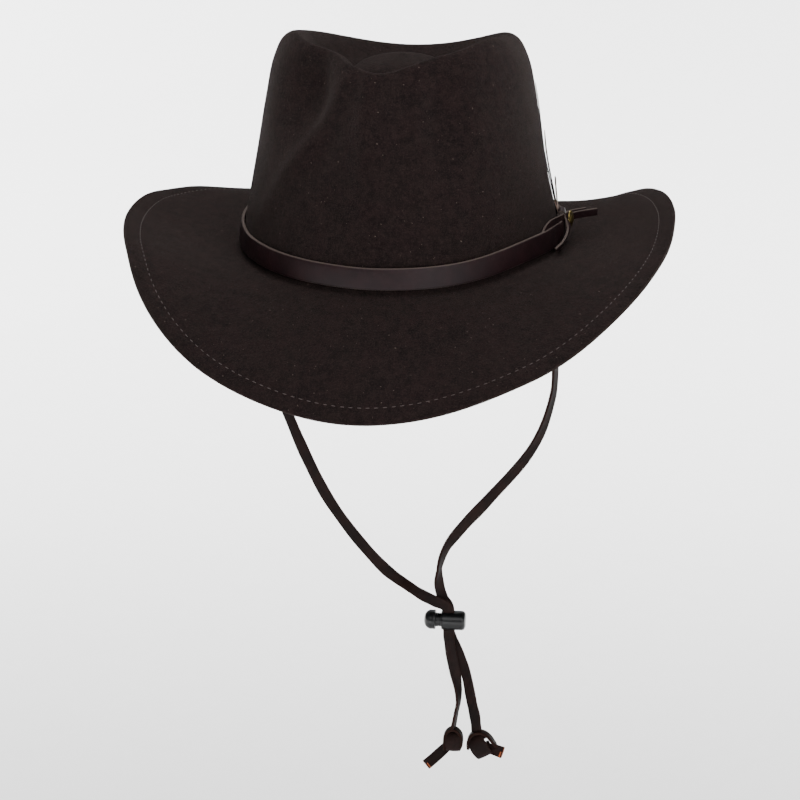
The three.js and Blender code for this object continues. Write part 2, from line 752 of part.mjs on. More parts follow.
piece("sweatband", sweatband(), bandLeather);
piece("chin_strap_back", heldLace(), laceLeather);
piece("chin_strap_left", freeLace(LEFT_LACE), laceLeather);
piece("chin_strap_right", freeLace(RIGHT_LACE), laceLeather);
KNOTS.forEach((row) => piece(row.name, knot(row), laceLeather));

const toggle = new THREE.Group();
toggle.position.copy(TOGGLE_CENTRE).setX(TOGGLE_CENTRE.x - TOGGLE_HOLE);
toggle.add(piece("toggle_barrel", toggleBarrel(), plastic));
toggle.add(piece("toggle_plunger", togglePlunger(), plastic));
root.add(toggle);

export default root;
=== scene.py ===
"""A bush hat of brown felt with a leather band, feathers and a leather chin strap.

Metres, +Z up. The hat's front looks along -Y and its left side is at +X. Sizes in millimetres
are turned into metres where a mesh is made.
"""

import math
import random

import bpy
import numpy as np
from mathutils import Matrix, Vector


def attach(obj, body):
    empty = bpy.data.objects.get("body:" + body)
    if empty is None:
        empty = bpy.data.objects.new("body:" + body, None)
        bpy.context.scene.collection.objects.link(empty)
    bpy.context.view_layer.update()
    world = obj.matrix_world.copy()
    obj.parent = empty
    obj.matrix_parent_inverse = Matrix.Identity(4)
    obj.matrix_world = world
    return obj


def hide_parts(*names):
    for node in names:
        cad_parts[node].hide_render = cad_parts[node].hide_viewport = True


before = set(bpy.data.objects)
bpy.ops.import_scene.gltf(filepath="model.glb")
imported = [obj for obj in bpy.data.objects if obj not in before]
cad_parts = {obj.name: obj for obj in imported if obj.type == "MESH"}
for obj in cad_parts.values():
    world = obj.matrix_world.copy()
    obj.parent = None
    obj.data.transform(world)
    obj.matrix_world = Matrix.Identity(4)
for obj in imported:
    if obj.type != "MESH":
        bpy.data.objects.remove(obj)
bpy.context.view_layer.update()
random.seed(7)


# Camera: a long lens ahead of the hat, a little above it and a little to its left. The frame
# takes in the hat from the peaks of its crown to the ends of its strap.
CAMERA_TURN = math.radians(7)
CAMERA_RISE = math.radians(16)
CAMERA_DISTANCE = 2.0
FRAME_WIDTH = 0.4264
FRAME_CENTRE = (-0.0008, -0.0847)

towards_camera = Vector(
    (
        math.sin(CAMERA_TURN) * math.cos(CAMERA_RISE),
        -math.cos(CAMERA_TURN) * math.cos(CAMERA_RISE),
        math.sin(CAMERA_RISE),
    )
)
picture_right = Vector((math.cos(CAMERA_TURN), math.sin(CAMERA_TURN), 0))
picture_up = towards_camera.cross(picture_right)
camera = bpy.data.objects.new("camera", bpy.data.cameras.new("camera"))
camera.location = towards_camera * CAMERA_DISTANCE
looked_at = picture_right * FRAME_CENTRE[0] + picture_up * FRAME_CENTRE[1]
camera.rotation_euler = (looked_at - camera.location).to_track_quat("-Z", "Y").to_euler()
camera.data.lens = camera.data.sensor_width * CAMERA_DISTANCE / FRAME_WIDTH
camera.data.clip_end = 50
bpy.context.scene.collection.objects.link(camera)
bpy.context.scene.camera = camera


# Floor and light: a pale paper floor well below the strap. Softboxes light the hat from above,
# from its front left and from behind, and four wide lamps light the paper round it.
class Mask:
    """An output of a node, which adds and multiplies into further nodes."""

    def __init__(self, finish, output):
        self.finish, self.output = finish, output

    def maths(self, operation, *values):
        return self.finish.node("ShaderNodeMath", {"operation": operation}, dict(enumerate(values)))

    def __add__(self, other):
        return self.maths("ADD", self, other)

    def __sub__(self, other):
        return self.maths("SUBTRACT", self, other)

    def __rsub__(self, other):
        return self.maths("SUBTRACT", other, self)

    def __mul__(self, other):
        return self.maths("MULTIPLY", self, other)

    __radd__ = __add__
    __rmul__ = __mul__


class Finish:
    """A material in the making. Its steady values are set on the shader's own sockets."""

    def __init__(self, name, steady):
        self.material = bpy.data.materials.new(name)
        self.material.use_nodes = True
        self.nodes = self.material.node_tree.nodes
        self.shader = self.nodes["Principled BSDF"]
        for socket, value in steady.items():
            self.shader.inputs[socket].default_value = value

    def node(self, kind, settings=None, inputs=None, output=0):
        made = self.nodes.new(kind)
        for name, value in (settings or {}).items():
            setattr(made, name, value)
        for name, value in (inputs or {}).items():
            self.feed(made.inputs[name], value)
        return Mask(self, made.outputs[output])

    def maths_of(self, operation, value):
        return self.node("ShaderNodeMath", {"operation": operation}, {0: value})

    def feed(self, socket, value):
        if isinstance(value, Mask):
            self.material.node_tree.links.new(value.output, socket)
        else:
            socket.default_value = value

    def surface(self, **links):
        for name, value in links.items():
            self.feed(self.shader.inputs[name.replace("_", " ")], value)
        return self.material

    def place(self, stretch=(1, 1, 1)):
        whole = self.node("ShaderNodeTexCoord", output="Object")
        return self.node("ShaderNodeMapping", None, {"Vector": whole, "Scale": stretch})

    def mark(self, name):
        return self.node("ShaderNodeAttribute", {"attribute_name": name}, output="Fac")

    def noise(self, place, scale, detail=2.0, roughness=0.5):
        sockets = {"Vector": place, "Scale": scale, "Detail": detail, "Roughness": roughness}
        return self.node("ShaderNodeTexNoise", None, sockets, "Fac")

    def between(self, value, low, high):
        settings = {"interpolation_type": "SMOOTHSTEP"}
        return self.node("ShaderNodeMapRange", settings, {0: value, 1: low, 2: high})

    def mixed(self, factor, first, second):
        settings = {"data_type": "RGBA"}
        return self.node("ShaderNodeMix", settings, {0: factor, 6: first, 7: second}, 2)

    def bump(self, height, depth, under=None):
        sockets = {"Height": height, "Distance": depth, "Strength": 1.0}
        if under is not None:
            sockets["Normal"] = under
        return self.node("ShaderNodeBump", None, sockets)


def shade(red, green, blue):
    """A colour from its screen values, 0 to 255."""
    parts = [value / 255 for value in (red, green, blue)]
    return (*[v / 12.92 if v <= 0.04045 else ((v + 0.055) / 1.055) ** 2.4 for v in parts], 1)


FLOOR_HEIGHT = -0.75
FLOOR_HALF = 14

floor_mesh = bpy.data.meshes.new("floor")
square = ((-1, -1), (1, -1), (1, 1), (-1, 1))
corners = [(x * FLOOR_HALF, y * FLOOR_HALF, FLOOR_HEIGHT) for x, y in square]
floor_mesh.from_pydata(corners, [], [(0, 1, 2, 3)])
floor = bpy.data.objects.new("floor", floor_mesh)
bpy.context.scene.collection.objects.link(floor)
paper = Finish("pale_paper", {"Roughness": 0.9})
paper_grain = paper.noise(paper.place(), 40, 3)
floor_mesh.materials.append(
    paper.surface(Base_Color=paper.mixed(paper_grain, (0.92, 0.92, 0.92, 1), (0.95, 0.95, 0.95, 1)))
)


def lamp(name, place, width, depth, power, aim, spread=math.pi):
    light = bpy.data.lights.new(name, "AREA")
    light.shape, light.size, light.size_y = "RECTANGLE", width, depth
    light.energy, light.spread = power, spread
    box = bpy.data.objects.new(name, light)
    box.location = place
    box.rotation_euler = (Vector(aim) - Vector(place)).to_track_quat("-Z", "Y").to_euler()
    bpy.context.scene.collection.objects.link(box)


# Each softbox's place and side in metres, and its power in watts
SOFTBOXES = {
    "front": ((0.3, -2.4, 1.6), 1.5, 25),
    "front_right": ((-1.6, -1.9, 0.9), 1.2, 4),
    "front_left": ((1.6, -1.9, 0.9), 1.2, 31),
    "overhead": ((0, -0.2, 2.0), 1.6, 68),
    "behind": ((0, 1.3, 1.7), 1.6, 26),
    "behind_right": ((-1.5, 1.6, 1.0), 1.2, 4),
}
for name, (place, size, power) in SOFTBOXES.items():
    lamp(name, place, size, size, power, (0, 0, 0))

PAPER_LAMP_OUT = 4.1
PAPER_LAMP_HEIGHT = 1.2
PAPER_LAMP_SIZE = (5.4, 9)
PAPER_LAMP_POWER = 640
PAPER_LAMP_SPREAD = math.radians(80)
for turn in range(4):
    angle = turn * math.pi / 2
    x, y = PAPER_LAMP_OUT * math.cos(angle), PAPER_LAMP_OUT * math.sin(angle)
    aim = (x, y, FLOOR_HEIGHT)
    across, deep = PAPER_LAMP_SIZE[:: 1 if turn % 2 == 0 else -1]
    place = (x, y, PAPER_LAMP_HEIGHT)
    lamp(f"paper_{turn}", place, across, deep, PAPER_LAMP_POWER, aim, PAPER_LAMP_SPREAD)

FILL_STRENGTH = 0.12
surroundings = bpy.data.worlds.new("surroundings")
surroundings.use_nodes = True
fill = surroundings.node_tree.nodes["Background"]
fill.inputs["Color"].default_value = (1, 1, 1, 1)
fill.inputs["Strength"].default_value = FILL_STRENGTH
bpy.context.scene.world = surroundings


# Chin strap toggle: a sprung cord lock moulded in black plastic. The plunger slides into the
# barrel, and both have a cross hole that the laces run through.
TOGGLE_DIAMETER = 10.8
TOGGLE_LENGTH = 13.2
TOGGLE_WALL = 1.3
TOGGLE_HOLE = 3.9
TOGGLE_TRAVEL = 3
CAP_LENGTH = 6.4
LACE_WIDTH = 6
LACE_LEATHER = 1.6
CLEARANCE = 0.3
TOGGLE_CENTRE = (26.2, 0, -215.6)
HOLE_WIDTH = LACE_WIDTH + 2 * CLEARANCE
HOLE_DEPTH = 2 * LACE_LEATHER + 4 * CLEARANCE
BORE = TOGGLE_DIAMETER / 2 - TOGGLE_WALL
TURNED_SIDES = 72
BARREL_ROUNDING = 2.2
CAP_DOME = 0.62
HOLE_ROUNDING = 0.9
CUTTER_REACH = 12
SOFTENED_EDGE = 0.22
MM = 0.001


def shells_mesh(name, shells, material, marks=None, crease=40):
    """A piece from arrays of rings, each (rings, points, 3) in millimetres, with closed ends."""
    points, faces, first = [], [], 0
    for rings in shells:
        count, around = rings.shape[:2]
        points.append(rings.reshape(-1, 3) * MM)
        row = first + np.arange(around)
        for ring in range(count - 1):
            a = row + ring * around
            b = np.roll(a, -1)
            faces += np.stack([a, b, b + around, a + around], 1).tolist()
        faces.append(row[::-1].tolist())
        faces.append((row + (count - 1) * around).tolist())
        first += count * around
    return mesh_piece(name, np.concatenate(points), faces, material, marks, crease)


def mesh_piece(name, points, faces, material, marks=None, crease=40):
    mesh = bpy.data.meshes.new(name)
    mesh.from_pydata(points.tolist(), [], faces)
    mesh.polygons.foreach_set("use_smooth", [True] * len(mesh.polygons))
    mesh.set_sharp_from_angle(angle=math.radians(crease))
    for mark, values in (marks or {}).items():
        layer = mesh.attributes.new(mark, "FLOAT", "POINT")
        layer.data.foreach_set("value", np.asarray(values, float).ravel())
    mesh.materials.append(material)
    made = bpy.data.objects.new(name, mesh)
    bpy.context.scene.collection.objects.link(made)
    return made


def turned_along_x(name, profile, material):
    """A turned piece along X, from (radius, distance from the barrel's rim) pairs."""
    angle = np.linspace(0, 2 * math.pi, TURNED_SIDES, endpoint=False)
    rings = []
    for radius, along in profile:
        ring = np.stack([0 * angle + along, radius * np.cos(angle), radius * np.sin(angle)], 1)
        rings.append(ring + np.array(TOGGLE_CENTRE) - [TOGGLE_HOLE, 0, 0])
    return shells_mesh(name, [np.stack(rings)], material, crease=35)


def cut_cross_hole(piece, start, end):
    """Cuts a hole with round corners down through a turned piece."""
    corner = np.radians(np.arange(0, 360, 15))
    half_x, half_y = (end - start) / 2 - HOLE_ROUNDING, HOLE_DEPTH / 2 - HOLE_ROUNDING
    side_x, side_y = np.sign(np.cos(corner + 0.01)), np.sign(np.sin(corner + 0.01))
    x = (start + end) / 2 + side_x * half_x + HOLE_ROUNDING * np.cos(corner)
    y = side_y * half_y + HOLE_ROUNDING * np.sin(corner)
    rings = [np.stack([x, y, 0 * x + z], 1) for z in (-CUTTER_REACH, CUTTER_REACH)]
    place = np.array(TOGGLE_CENTRE) - [TOGGLE_HOLE, 0, 0]
    cutter = shells_mesh("cutter", [np.stack(rings) + place], piece.data.materials[0])
    hole = piece.modifiers.new("hole", "BOOLEAN")
    hole.object, hole.solver = cutter, "EXACT"
    soften = piece.modifiers.new("soften", "BEVEL")
    soften.width, soften.segments, soften.limit_method = SOFTENED_EDGE * MM, 2, "ANGLE"
    soften.angle_limit = math.radians(50)
    cut = bpy.data.meshes.new_from_object(piece.evaluated_get(bpy.context.evaluated_depsgraph_get()))
    piece.modifiers.clear()
    piece.data = cut
    cut.set_sharp_from_angle(angle=math.radians(40))
    bpy.data.objects.remove(cutter)


moulded = Finish("moulded_black_plastic", {"Specular IOR Level": 0.3})
texture = moulded.noise(moulded.place(), 2200, 3, 0.6)
handling = moulded.between(moulded.noise(moulded.place(), 160, 5, 0.7), 0.45, 0.75)
scuffs = moulded.between(moulded.noise(moulded.place((0.25, 1, 1)), 1500, 4), 0.62, 0.75)
black_plastic = moulded.surface(
    Base_Color=moulded.mixed(0.25 * handling + 0.2 * scuffs, shade(11, 12, 13), shade(26, 27, 29)),
    Roughness=0.3 + 0.08 * handling + 0.15 * scuffs,
    Normal=moulded.bump(texture + 0.2 * handling, 0.000015),
)

radius = TOGGLE_DIAMETER / 2
rounded_from = np.array([radius, TOGGLE_LENGTH]) - BARREL_ROUNDING
barrel_end = [
    rounded_from + BARREL_ROUNDING * np.array([math.cos(turn), math.sin(turn)])
    for turn in np.radians(np.linspace(0, 90, 9))
]
barrel_profile = [
    (0.02, TOGGLE_LENGTH - TOGGLE_WALL),
    (BORE - 0.3, TOGGLE_LENGTH - TOGGLE_WALL),
    (BORE, TOGGLE_LENGTH - TOGGLE_WALL - 0.3),
    (BORE, 0.3),
    (BORE + 0.25, 0.05),
    (radius - 0.5, 0),
    (radius - 0.2, 0.12),
    (radius, 0.5),
    (radius, 1.1),
    (radius - 0.12, 1.4),
    *barrel_end,
    (0.02, TOGGLE_LENGTH),
]
barrel = turned_along_x("toggle_barrel_body", barrel_profile, black_plastic)
cut_cross_hole(barrel, TOGGLE_HOLE - HOLE_WIDTH / 2, TOGGLE_HOLE + HOLE_WIDTH / 2)

stem = BORE - CLEARANCE
neck = -TOGGLE_TRAVEL - CLEARANCE
stem_end = TOGGLE_LENGTH - TOGGLE_WALL - TOGGLE_TRAVEL - CLEARANCE
cap_dome = [
    (radius * math.sin(turn) ** 0.85, neck - CAP_LENGTH + CAP_DOME * CAP_LENGTH * (1 - math.cos(turn)))
    for turn in np.radians(np.linspace(2, 90, 16))
]
plunger_profile = [
    *cap_dome,
    (radius - 0.1, neck - 1.3),
    (radius, neck - 1.0),
    (radius, neck - 0.5),
    (radius - 0.2, neck - 0.12),
    (radius - 0.5, neck),
    (stem + 0.2, neck),
    (stem, neck + 0.2),
    (stem, stem_end - 0.3),
    (stem - 0.3, stem_end),
    (0.02, stem_end),
]
plunger = turned_along_x("toggle_plunger_body", plunger_profile, black_plastic)
slot_end = TOGGLE_HOLE + HOLE_WIDTH / 2
cut_cross_hole(plunger, slot_end - HOLE_WIDTH - TOGGLE_TRAVEL, slot_end)
for piece, body, node in ((barrel, "hat", "toggle_barrel"), (plunger, "plunger", "toggle_plunger")):
    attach(piece, body)
    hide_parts(node)


# Knots: an overhand knot in each lace, of the lace itself. It arches over and winds once round,
# and its end comes out to the side, where it is cut off and shows its tan core.
KNOT_LEFT_AT = (29.3, -1.4, -287.3)
KNOT_RIGHT_AT = (43.9, 1.5, -290.6)
TURN_FROM = 72
TURN_TO = -266
TURN_STEPS = 72
RUN_STEPS = 80
ARCH_WIDTH = 5.6
KNOT_SWELL = 0.04


def strip_section(width, leather, flats=7, ease=0.32):
    """Across, through and raw mark for the points round a strip's section."""
    round_off = ease * leather
    turn = np.radians([90, 67, 45, 22, 0])
    out = width / 2 - round_off + round_off * np.cos(turn)
    up = leather / 2 - round_off + round_off * np.sin(turn)
    flat = np.linspace(-out[0], out[0], flats + 2)[1:-1]
    side = np.concatenate([out, out[::-1]])
    across = np.concatenate([flat, side, flat[::-1], -side])
    face = 0 * flat + leather / 2
    through = np.concatenate([face, up, -up[::-1], -face, -up, up[::-1]])
    raw = (np.abs(across) > width / 2 - 0.55 * round_off).astype(float)
    return across, through, raw


def smooth_curve(points, along):
    """Points on a smooth curve through the given ones, for places along it from 0 to 1."""
    points = np.asarray(points, float)
    held = np.concatenate([[2 * points[0] - points[1]], points, [2 * points[-1] - points[-2]]])
    place = np.asarray(along, float) * (len(points) - 1)
    row = np.clip(place.astype(int), 0, len(points) - 2)
    part = (place - row).reshape((-1,) + (1,) * (points.ndim - 1))
    stops = [held[row + k] for k in range(4)]
    gaps = [np.sqrt(np.linalg.norm(b - a, axis=-1, keepdims=True)) for a, b in zip(stops, stops[1:])]
    gaps[1] = np.where(gaps[1] < 1e-4, 1.0, gaps[1])
    gaps[0] = np.where(gaps[0] < 1e-4, gaps[1], gaps[0])
    gaps[2] = np.where(gaps[2] < 1e-4, gaps[1], gaps[2])
    before, start, end, after = stops
    into, span, out = gaps
    leave = span * ((start - before) / into - (end - before) / (into + span) + (end - start) / span)
    arrive = span * ((end - start) / span - (after - start) / (span + out) + (after - end) / out)
    bend = 3 * (end - start) - 2 * leave - arrive + part * (2 * (start - end) + leave + arrive)
    return start + part * (leave + part * bend)


def unit(vectors):
    return vectors / np.linalg.norm(vectors, axis=-1, keepdims=True)


def ribbon(spine, facing, width, leather, share=1.0, cup=0.0, bevel=0.0, flats=7):
    """Rings and marks of a strip along a spine, whose face looks in the facing directions.

    share narrows it along the way, cup lifts its sides and bevel slants the cut at its end.
    """
    across, through, raw = strip_section(width, leather, flats)
    reach = across * np.broadcast_to(share, len(spine))[:, None]
    lift = through + np.broadcast_to(cup, len(spine))[:, None] * (2 * across / width) ** 2
    tangent = unit(np.gradient(spine, axis=0))
    sideways = unit(np.cross(tangent, facing))
    face = np.cross(sideways, tangent)
    rings = spine[:, None] + reach[..., None] * sideways[:, None] + lift[..., None] * face[:, None]
    rings[-1] -= bevel * (through / leather + 0.5)[:, None] * tangent[-1]
    cut = np.zeros(rings.shape[:2])
    cut[-1] = bevel > 0
    return rings, {"raw": np.broadcast_to(raw, cut.shape), "cut": cut}


def joined_marks(parts):
    return {name: np.concatenate([marks[name].ravel() for marks in parts]) for name in parts[0]}


def leather_finish(name, face, deep, edge, core, roughness, pores, gloss):
    """Dyed leather: cloudy dye, pores and fine creases, paler edges and an undyed core."""
    finish = Finish(name, {"Specular IOR Level": gloss})
    place = finish.place()
    cloud = finish.between(finish.noise(place, 90, 5, 0.6), 0.35, 0.7)
    scuff = finish.between(finish.noise(place, 330, 5, 0.7), 0.55, 0.75)
    pore = finish.node("ShaderNodeTexVoronoi", None, {"Vector": place, "Scale": pores}, "Distance")
    crease = finish.noise(place, 520, 6, 0.65)
    fibre = finish.noise(place, 2600, 3)
    raw, cut = finish.mark("raw"), finish.mark("cut")
    dye = finish.mixed(cloud, deep, face)
    dye = finish.mixed(0.12 * scuff, dye, edge)
    worn = finish.between(raw + 0.5 * (fibre - 0.5), 0.3, 0.95)
    colour = finish.mixed(worn, dye, edge)
    colour = finish.mixed(finish.between(cut + 0.3 * (fibre - 0.5), 0.35, 0.7), colour, core)
    rough = roughness - 0.1 + 0.2 * crease + 0.35 * raw
    relief = 0.5 * pore + 0.5 * crease + 0.8 * (raw * fibre)
    return finish.surface(Base_Color=colour, Roughness=rough, Normal=finish.bump(relief, 0.0001))


lace_leather = leather_finish(
    "lace_leather",
    face=shade(30, 18, 16),
    deep=shade(20, 13, 12),
    edge=shade(34, 21, 18),
    core=shade(146, 76, 45),
    roughness=0.6,
    pores=1500,
    gloss=0.07,
)


def knot_turn(width, deep, tall, tilt):
    """One turn round a line that lies across the picture and is tilted by an angle in degrees."""
    lean = math.radians(tilt)
    upwards = np.array([-math.sin(lean), 0, math.cos(lean)])
    angle = np.radians(np.linspace(TURN_FROM, TURN_TO, TURN_STEPS))
    away = np.array([0, 1.0, 0])
    spine = (deep * np.sin(angle))[:, None] * away + (tall * np.cos(angle))[:, None] * upwards
    facing = (np.sin(angle) / deep)[:, None] * away + (np.cos(angle) / tall)[:, None] * upwards
    swell = 1 + KNOT_SWELL * np.sin(3 * angle)
    return ribbon(spine, unit(facing), width, LACE_LEATHER, share=swell, cup=-0.25)


def knot_run(rows, width, shares=(1, 1), **shape):
    """A stretch of lace through rows of a point and the direction that the face looks in."""
    rows = np.array(rows, float)
    along = np.linspace(0, 1, RUN_STEPS)
    spine = smooth_curve(rows[:, :3], along)
    facing = unit(smooth_curve(rows[:, 3:], along))
    share = np.interp(along, [0, 0.45, 1], [shares[0], shares[1], 1])
    return ribbon(spine, facing, width, LACE_LEATHER, share=share, **shape)


# Rows in millimetres from the knot's middle, with the direction of the face
LEFT_ARCH = [
    (4.2, 0, -2.6, 1, 0, -0.3),
    (4.5, 0, 1.4, 1, 0, 0.1),
    (3.7, 0, 4.8, 0.85, 0, 0.5),
    (1.6, 0, 7.0, 0.35, 0, 0.9),
    (-0.5, 0, 7.5, -0.1, 0, 1),
    (-2.7, 0, 6.6, -0.5, 0, 0.85),
    (-4.4, 0, 4.4, -0.85, 0, 0.5),
    (-4.9, 0, 0.8, -1, 0, 0.1),
    (-4.8, 0, -4.6, -1, 0, -0.1),
]
LEFT_END = [
    (-0.8, 5.5, -3.0, 0, -1, 0.1),
    (-3.2, 5.2, -4.5, 0, -1, 0.1),
    (-6.2, 3.9, -7.2, -0.1, -1, 0.1),
    (-9.6, 2.3, -10.2, -0.2, -1, 0.1),
    (-12.6, 1.0, -12.8, -0.25, -1, 0.15),
    (-15.4, -0.3, -15.0, -0.3, -1, 0.15),
]
RIGHT_ARCH = [
    (-6.6, 0.6, -1.6, -1, 0, -0.1),
    (-6.7, 0.3, 1.4, -1, 0, 0.2),
    (-6.2, 0, 4.2, -0.9, 0, 0.4),
    (-4.6, 0, 6.9, -0.7, 0, 0.7),
    (-2.0, 0, 8.3, -0.25, 0, 1),
    (1.0, 0, 8.2, 0.15, 0, 1),
    (3.6, 0, 7.0, 0.45, 0, 0.9),
    (5.6, 0.2, 5.0, 0.7, 0, 0.7),
    (7.2, 0.6, 2.6, 0.7, 0, 0.7),
    (8.6, 1.6, 0.4, 0.6, 0, 0.8),
]
RIGHT_FILL = [
    (-2.4, 0.8, 8.0, -0.1, -1, 0.2),
    (-1.9, -0.2, 6.4, -0.1, -1, 0.3),
    (-1.3, -0.6, 3.8, 0, -1, 0.2),
    (-0.6, 0.6, 1.0, 0, -1, 0.1),
]
RIGHT_END = [
    (2.8, 1.9, -0.6, -0.1, -1, 0.1),
    (5.0, 1.4, -1.2, -0.1, -1, 0.1),
    (7.4, 0.9, -1.9, 0, -1, 0.2),
    (10.0, 0.4, -2.6, 0.15, -1, 0.2),
    (12.9, -0.2, -3.3, 0.3, -1, 0.2),
]
KNOTS = {
    "knot_left": (
        KNOT_LEFT_AT,
        knot_turn(8.2, 3.6, 4.9, 0),
        knot_run(LEFT_ARCH, ARCH_WIDTH),
        knot_run(LEFT_END, LACE_WIDTH, (0.8, 1), cup=0.2, bevel=1.5),
    ),
    "knot_right": (
        KNOT_RIGHT_AT,
        knot_turn(9.6, 3.8, 6.0, 30),
        knot_run(RIGHT_ARCH, ARCH_WIDTH),
        knot_run(RIGHT_FILL, 6.4),
        knot_run(RIGHT_END, LACE_WIDTH + 0.6, (0.45, 0.95), cup=0.7, bevel=1.6),
    ),
}
knots = {}
for name, (middle, *runs) in KNOTS.items():
    shells = [rings + np.array(middle) for rings, _ in runs]
    marks = joined_marks([marks for _, marks in runs])
    knots[name] = shells_mesh("lace_" + name, shells, lace_leather, marks)
    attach(knots[name], "hat")
    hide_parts(name)


# Laces: the chin strap's two free ends, flat strips of soft leather that twist and curl as they
# hang. They come out of the hat at its sides, go through the toggle and end in the knots.
# Rows of x, y and z in millimetres, and the direction that the face looks in, in degrees
LEFT_LACE = [
    (-79.95, 0, -0.4, 180),
    (-79.95, 0, -6, 180),
    (-79.4, 0, -16, 186),
    (-77.2, 0, -40, 205),
    (-70.5, 0, -75, 245),
    (-61.5, 0, -101, 265),
    (-51.3, 0, -125.5, 270),
    (-39.4, 0, -148.8, 270),
    (-23.6, 0, -170.9, 275),
    (-8.2, 0, -187.9, 310),
    (2, -0.2, -195.3, 335),
    (11, -1.1, -200.8, 315),
    (18.4, -1.4, -204.2, 280),
    (24.4, -1.05, -206.9, 270),
    (26.2, -0.95, -210, 270),
    (26.2, -0.95, -221.4, 270),
    (26.5, -1.05, -227, 271),
    (28.4, -1.3, -238.8, 290),
    (31, -1.4, -252, 322),
    (31.8, -1.4, -263, 348),
    (30.3, -1.4, -271.5, 350),
    (29.2, -1.4, -279.4, 345),
]
RIGHT_LACE = [
    (79.95, 0, -0.4, 360),
    (80, 0, -6, 360),
    (80.6, 0, -16, 358),
    (82.2, 0, -42, 345),
    (82.9, 0, -72.9, 338),
    (81.1, 0, -86.2, 333),
    (76.2, 0, -103.2, 322),
    (66.9, 0, -120.4, 300),
    (47.1, 0, -144.9, 275),
    (32.5, 0, -162.1, 290),
    (24.3, 0.2, -174.4, 320),
    (20.4, 1.1, -186.6, 345),
    (20.6, 1.8, -196, 310),
    (22.6, 1.6, -202.8, 275),
    (25.5, 1.1, -207.2, 270),
    (26.2, 0.95, -210, 270),
    (26.2, 0.95, -221.4, 270),
    (27.7, 1.1, -226.5, 269),
    (32.6, 1.4, -238, 262),
    (36.4, 1.5, -250, 255),
    (39, 1.5, -264.8, 250),
    (41, 1.5, -273.8, 257),
    (41.9, 1.5, -282.0, 262),
]
LACE_STEPS = 340
# Height, number of turns along the lace in radians, and whether the lace's own phase counts
LACE_SWELLS = [(0.035, 47, 1), (0.03, 121, 0)]
LACE_CURLS = [(0.22, 23, 1), (0.12, 67, 0)]


def smoothstep(value, low, high):
    share = np.clip((value - low) / (high - low), 0, 1)
    return share * share * (3 - 2 * share)


def waves(rows, along, phase):
    return sum(height * np.sin(turns * along + own * phase) for height, turns, own in rows)


def free_lace(name, route, phase):
    route = np.array(route, float)
    along = np.linspace(0, 1, LACE_STEPS)
    spine = smooth_curve(route[:, :3], along)
    angle = np.radians(np.interp(along * (len(route) - 1), np.arange(len(route)), route[:, 3]))
    facing = np.stack([np.cos(angle), np.sin(angle), 0 * angle], 1)
    toggle_away = smoothstep(np.abs(spine[:, 2] - TOGGLE_CENTRE[2]), 7, 14)
    calm = toggle_away * smoothstep(-spine[:, 2], 8, 24)
    share = 1 + calm * waves(LACE_SWELLS, along, phase)
    cup = 0.1 + calm * waves(LACE_CURLS, along, phase)
    rings, marks = ribbon(spine, facing, LACE_WIDTH, LACE_LEATHER, share=share, cup=cup)
    return shells_mesh(name, [rings], lace_leather, marks), spine


for name, route, phase, riders in (
    ("chin_strap_left", LEFT_LACE, 0, [barrel, plunger, knots["knot_left"]]),
    ("chin_strap_right", RIGHT_LACE, 2, [knots["knot_right"]]),
):
    lace, spine = free_lace(name.replace("chin_strap", "lace"), route, phase)
    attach(lace, "hat")
    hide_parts(name)
    spine[0] * MM
    spine[::4] * MM


# Felt body: crown and brim blocked from one piece of brown wool felt. The crown is pinched by
# hand into a teardrop with a dome in it. The brim is curled up at the sides and turned down at
# the front and back, and its edge is left raw.
HEAD_HALF_WIDTH = 83.5
HEAD_HALF_LENGTH = 103
CROWN_HEIGHT = 120
RIM_RISE = 9
RIM_LEAN = 1.2
FELT = 2
BREAK_RADIUS = 3.5
BRIM_SIDE = 63
BRIM_FRONT = 81
BRIM_BACK = 68
WALL_FOOT = BREAK_RADIUS / CROWN_HEIGHT
RIM_EASE = np.radians([-8, -4, 0, 4, 8])
# On the hat's left the peak stands further ahead, in degrees, and ahead of the band's knot the
# wall's foot rises, in millimetres
RIM_TURN = 9
RIM_TURN_FADE = 0.35
FOOT_LIFT = 3.6
FOOT_LIFT_AT = math.radians(-32)
FOOT_LIFT_SPREAD = math.radians(22)
FOOT_LIFT_ROWS = (0.8, 0.95)
DENT_FADE = (0.25, 0.65)

# Crown sections from the middle of the top to the foot of the wall: shares of the head's half
# width and half length ahead and behind, of the crown's height at the sides, ahead and behind,
# and of the rim's own rise
CROWN = [
    (0, 0, 0, 0.854, 0.854, 0.854, 0),
    (0.25, 0.252, 0.214, 0.812, 0.832, 0.81, 0),
    (0.4, 0.437, 0.369, 0.733, 0.758, 0.7, 0),
    (0.5, 0.553, 0.485, 0.8, 0.815, 0.715, 0.4),
    (0.59, 0.66, 0.583, 0.89, 0.887, 0.746, 0.85),
    (0.665, 0.714, 0.65, 0.923, 0.9, 0.764, 1),
    (0.735, 0.748, 0.718, 0.902, 0.875, 0.737, 0.9),
    (0.8, 0.782, 0.777, 0.82, 0.816, 0.667, 0.55),
    (0.845, 0.843, 0.852, 0.683, 0.683, 0.55, 0.15),
    (0.905, 0.91, 0.919, 0.44, 0.44, 0.367, 0),
    (0.98, 0.982, 0.982, 0.142, 0.142, 0.142, 0),
    (1, 1, 1, WALL_FOOT, WALL_FOOT, WALL_FOOT, 0),
]
# Degrees from the side towards the front, and the share of the rim's rise there
RIM = [
    (-90, 0),
    (-40, 0),
    (-20, 0.05),
    (-5, 0.25),
    (8, 0.65),
    (20, 1),
    (30, 0.91),
    (45, 0.79),
    (60, 0.61),
    (75, 0.35),
    (90, 0),
]
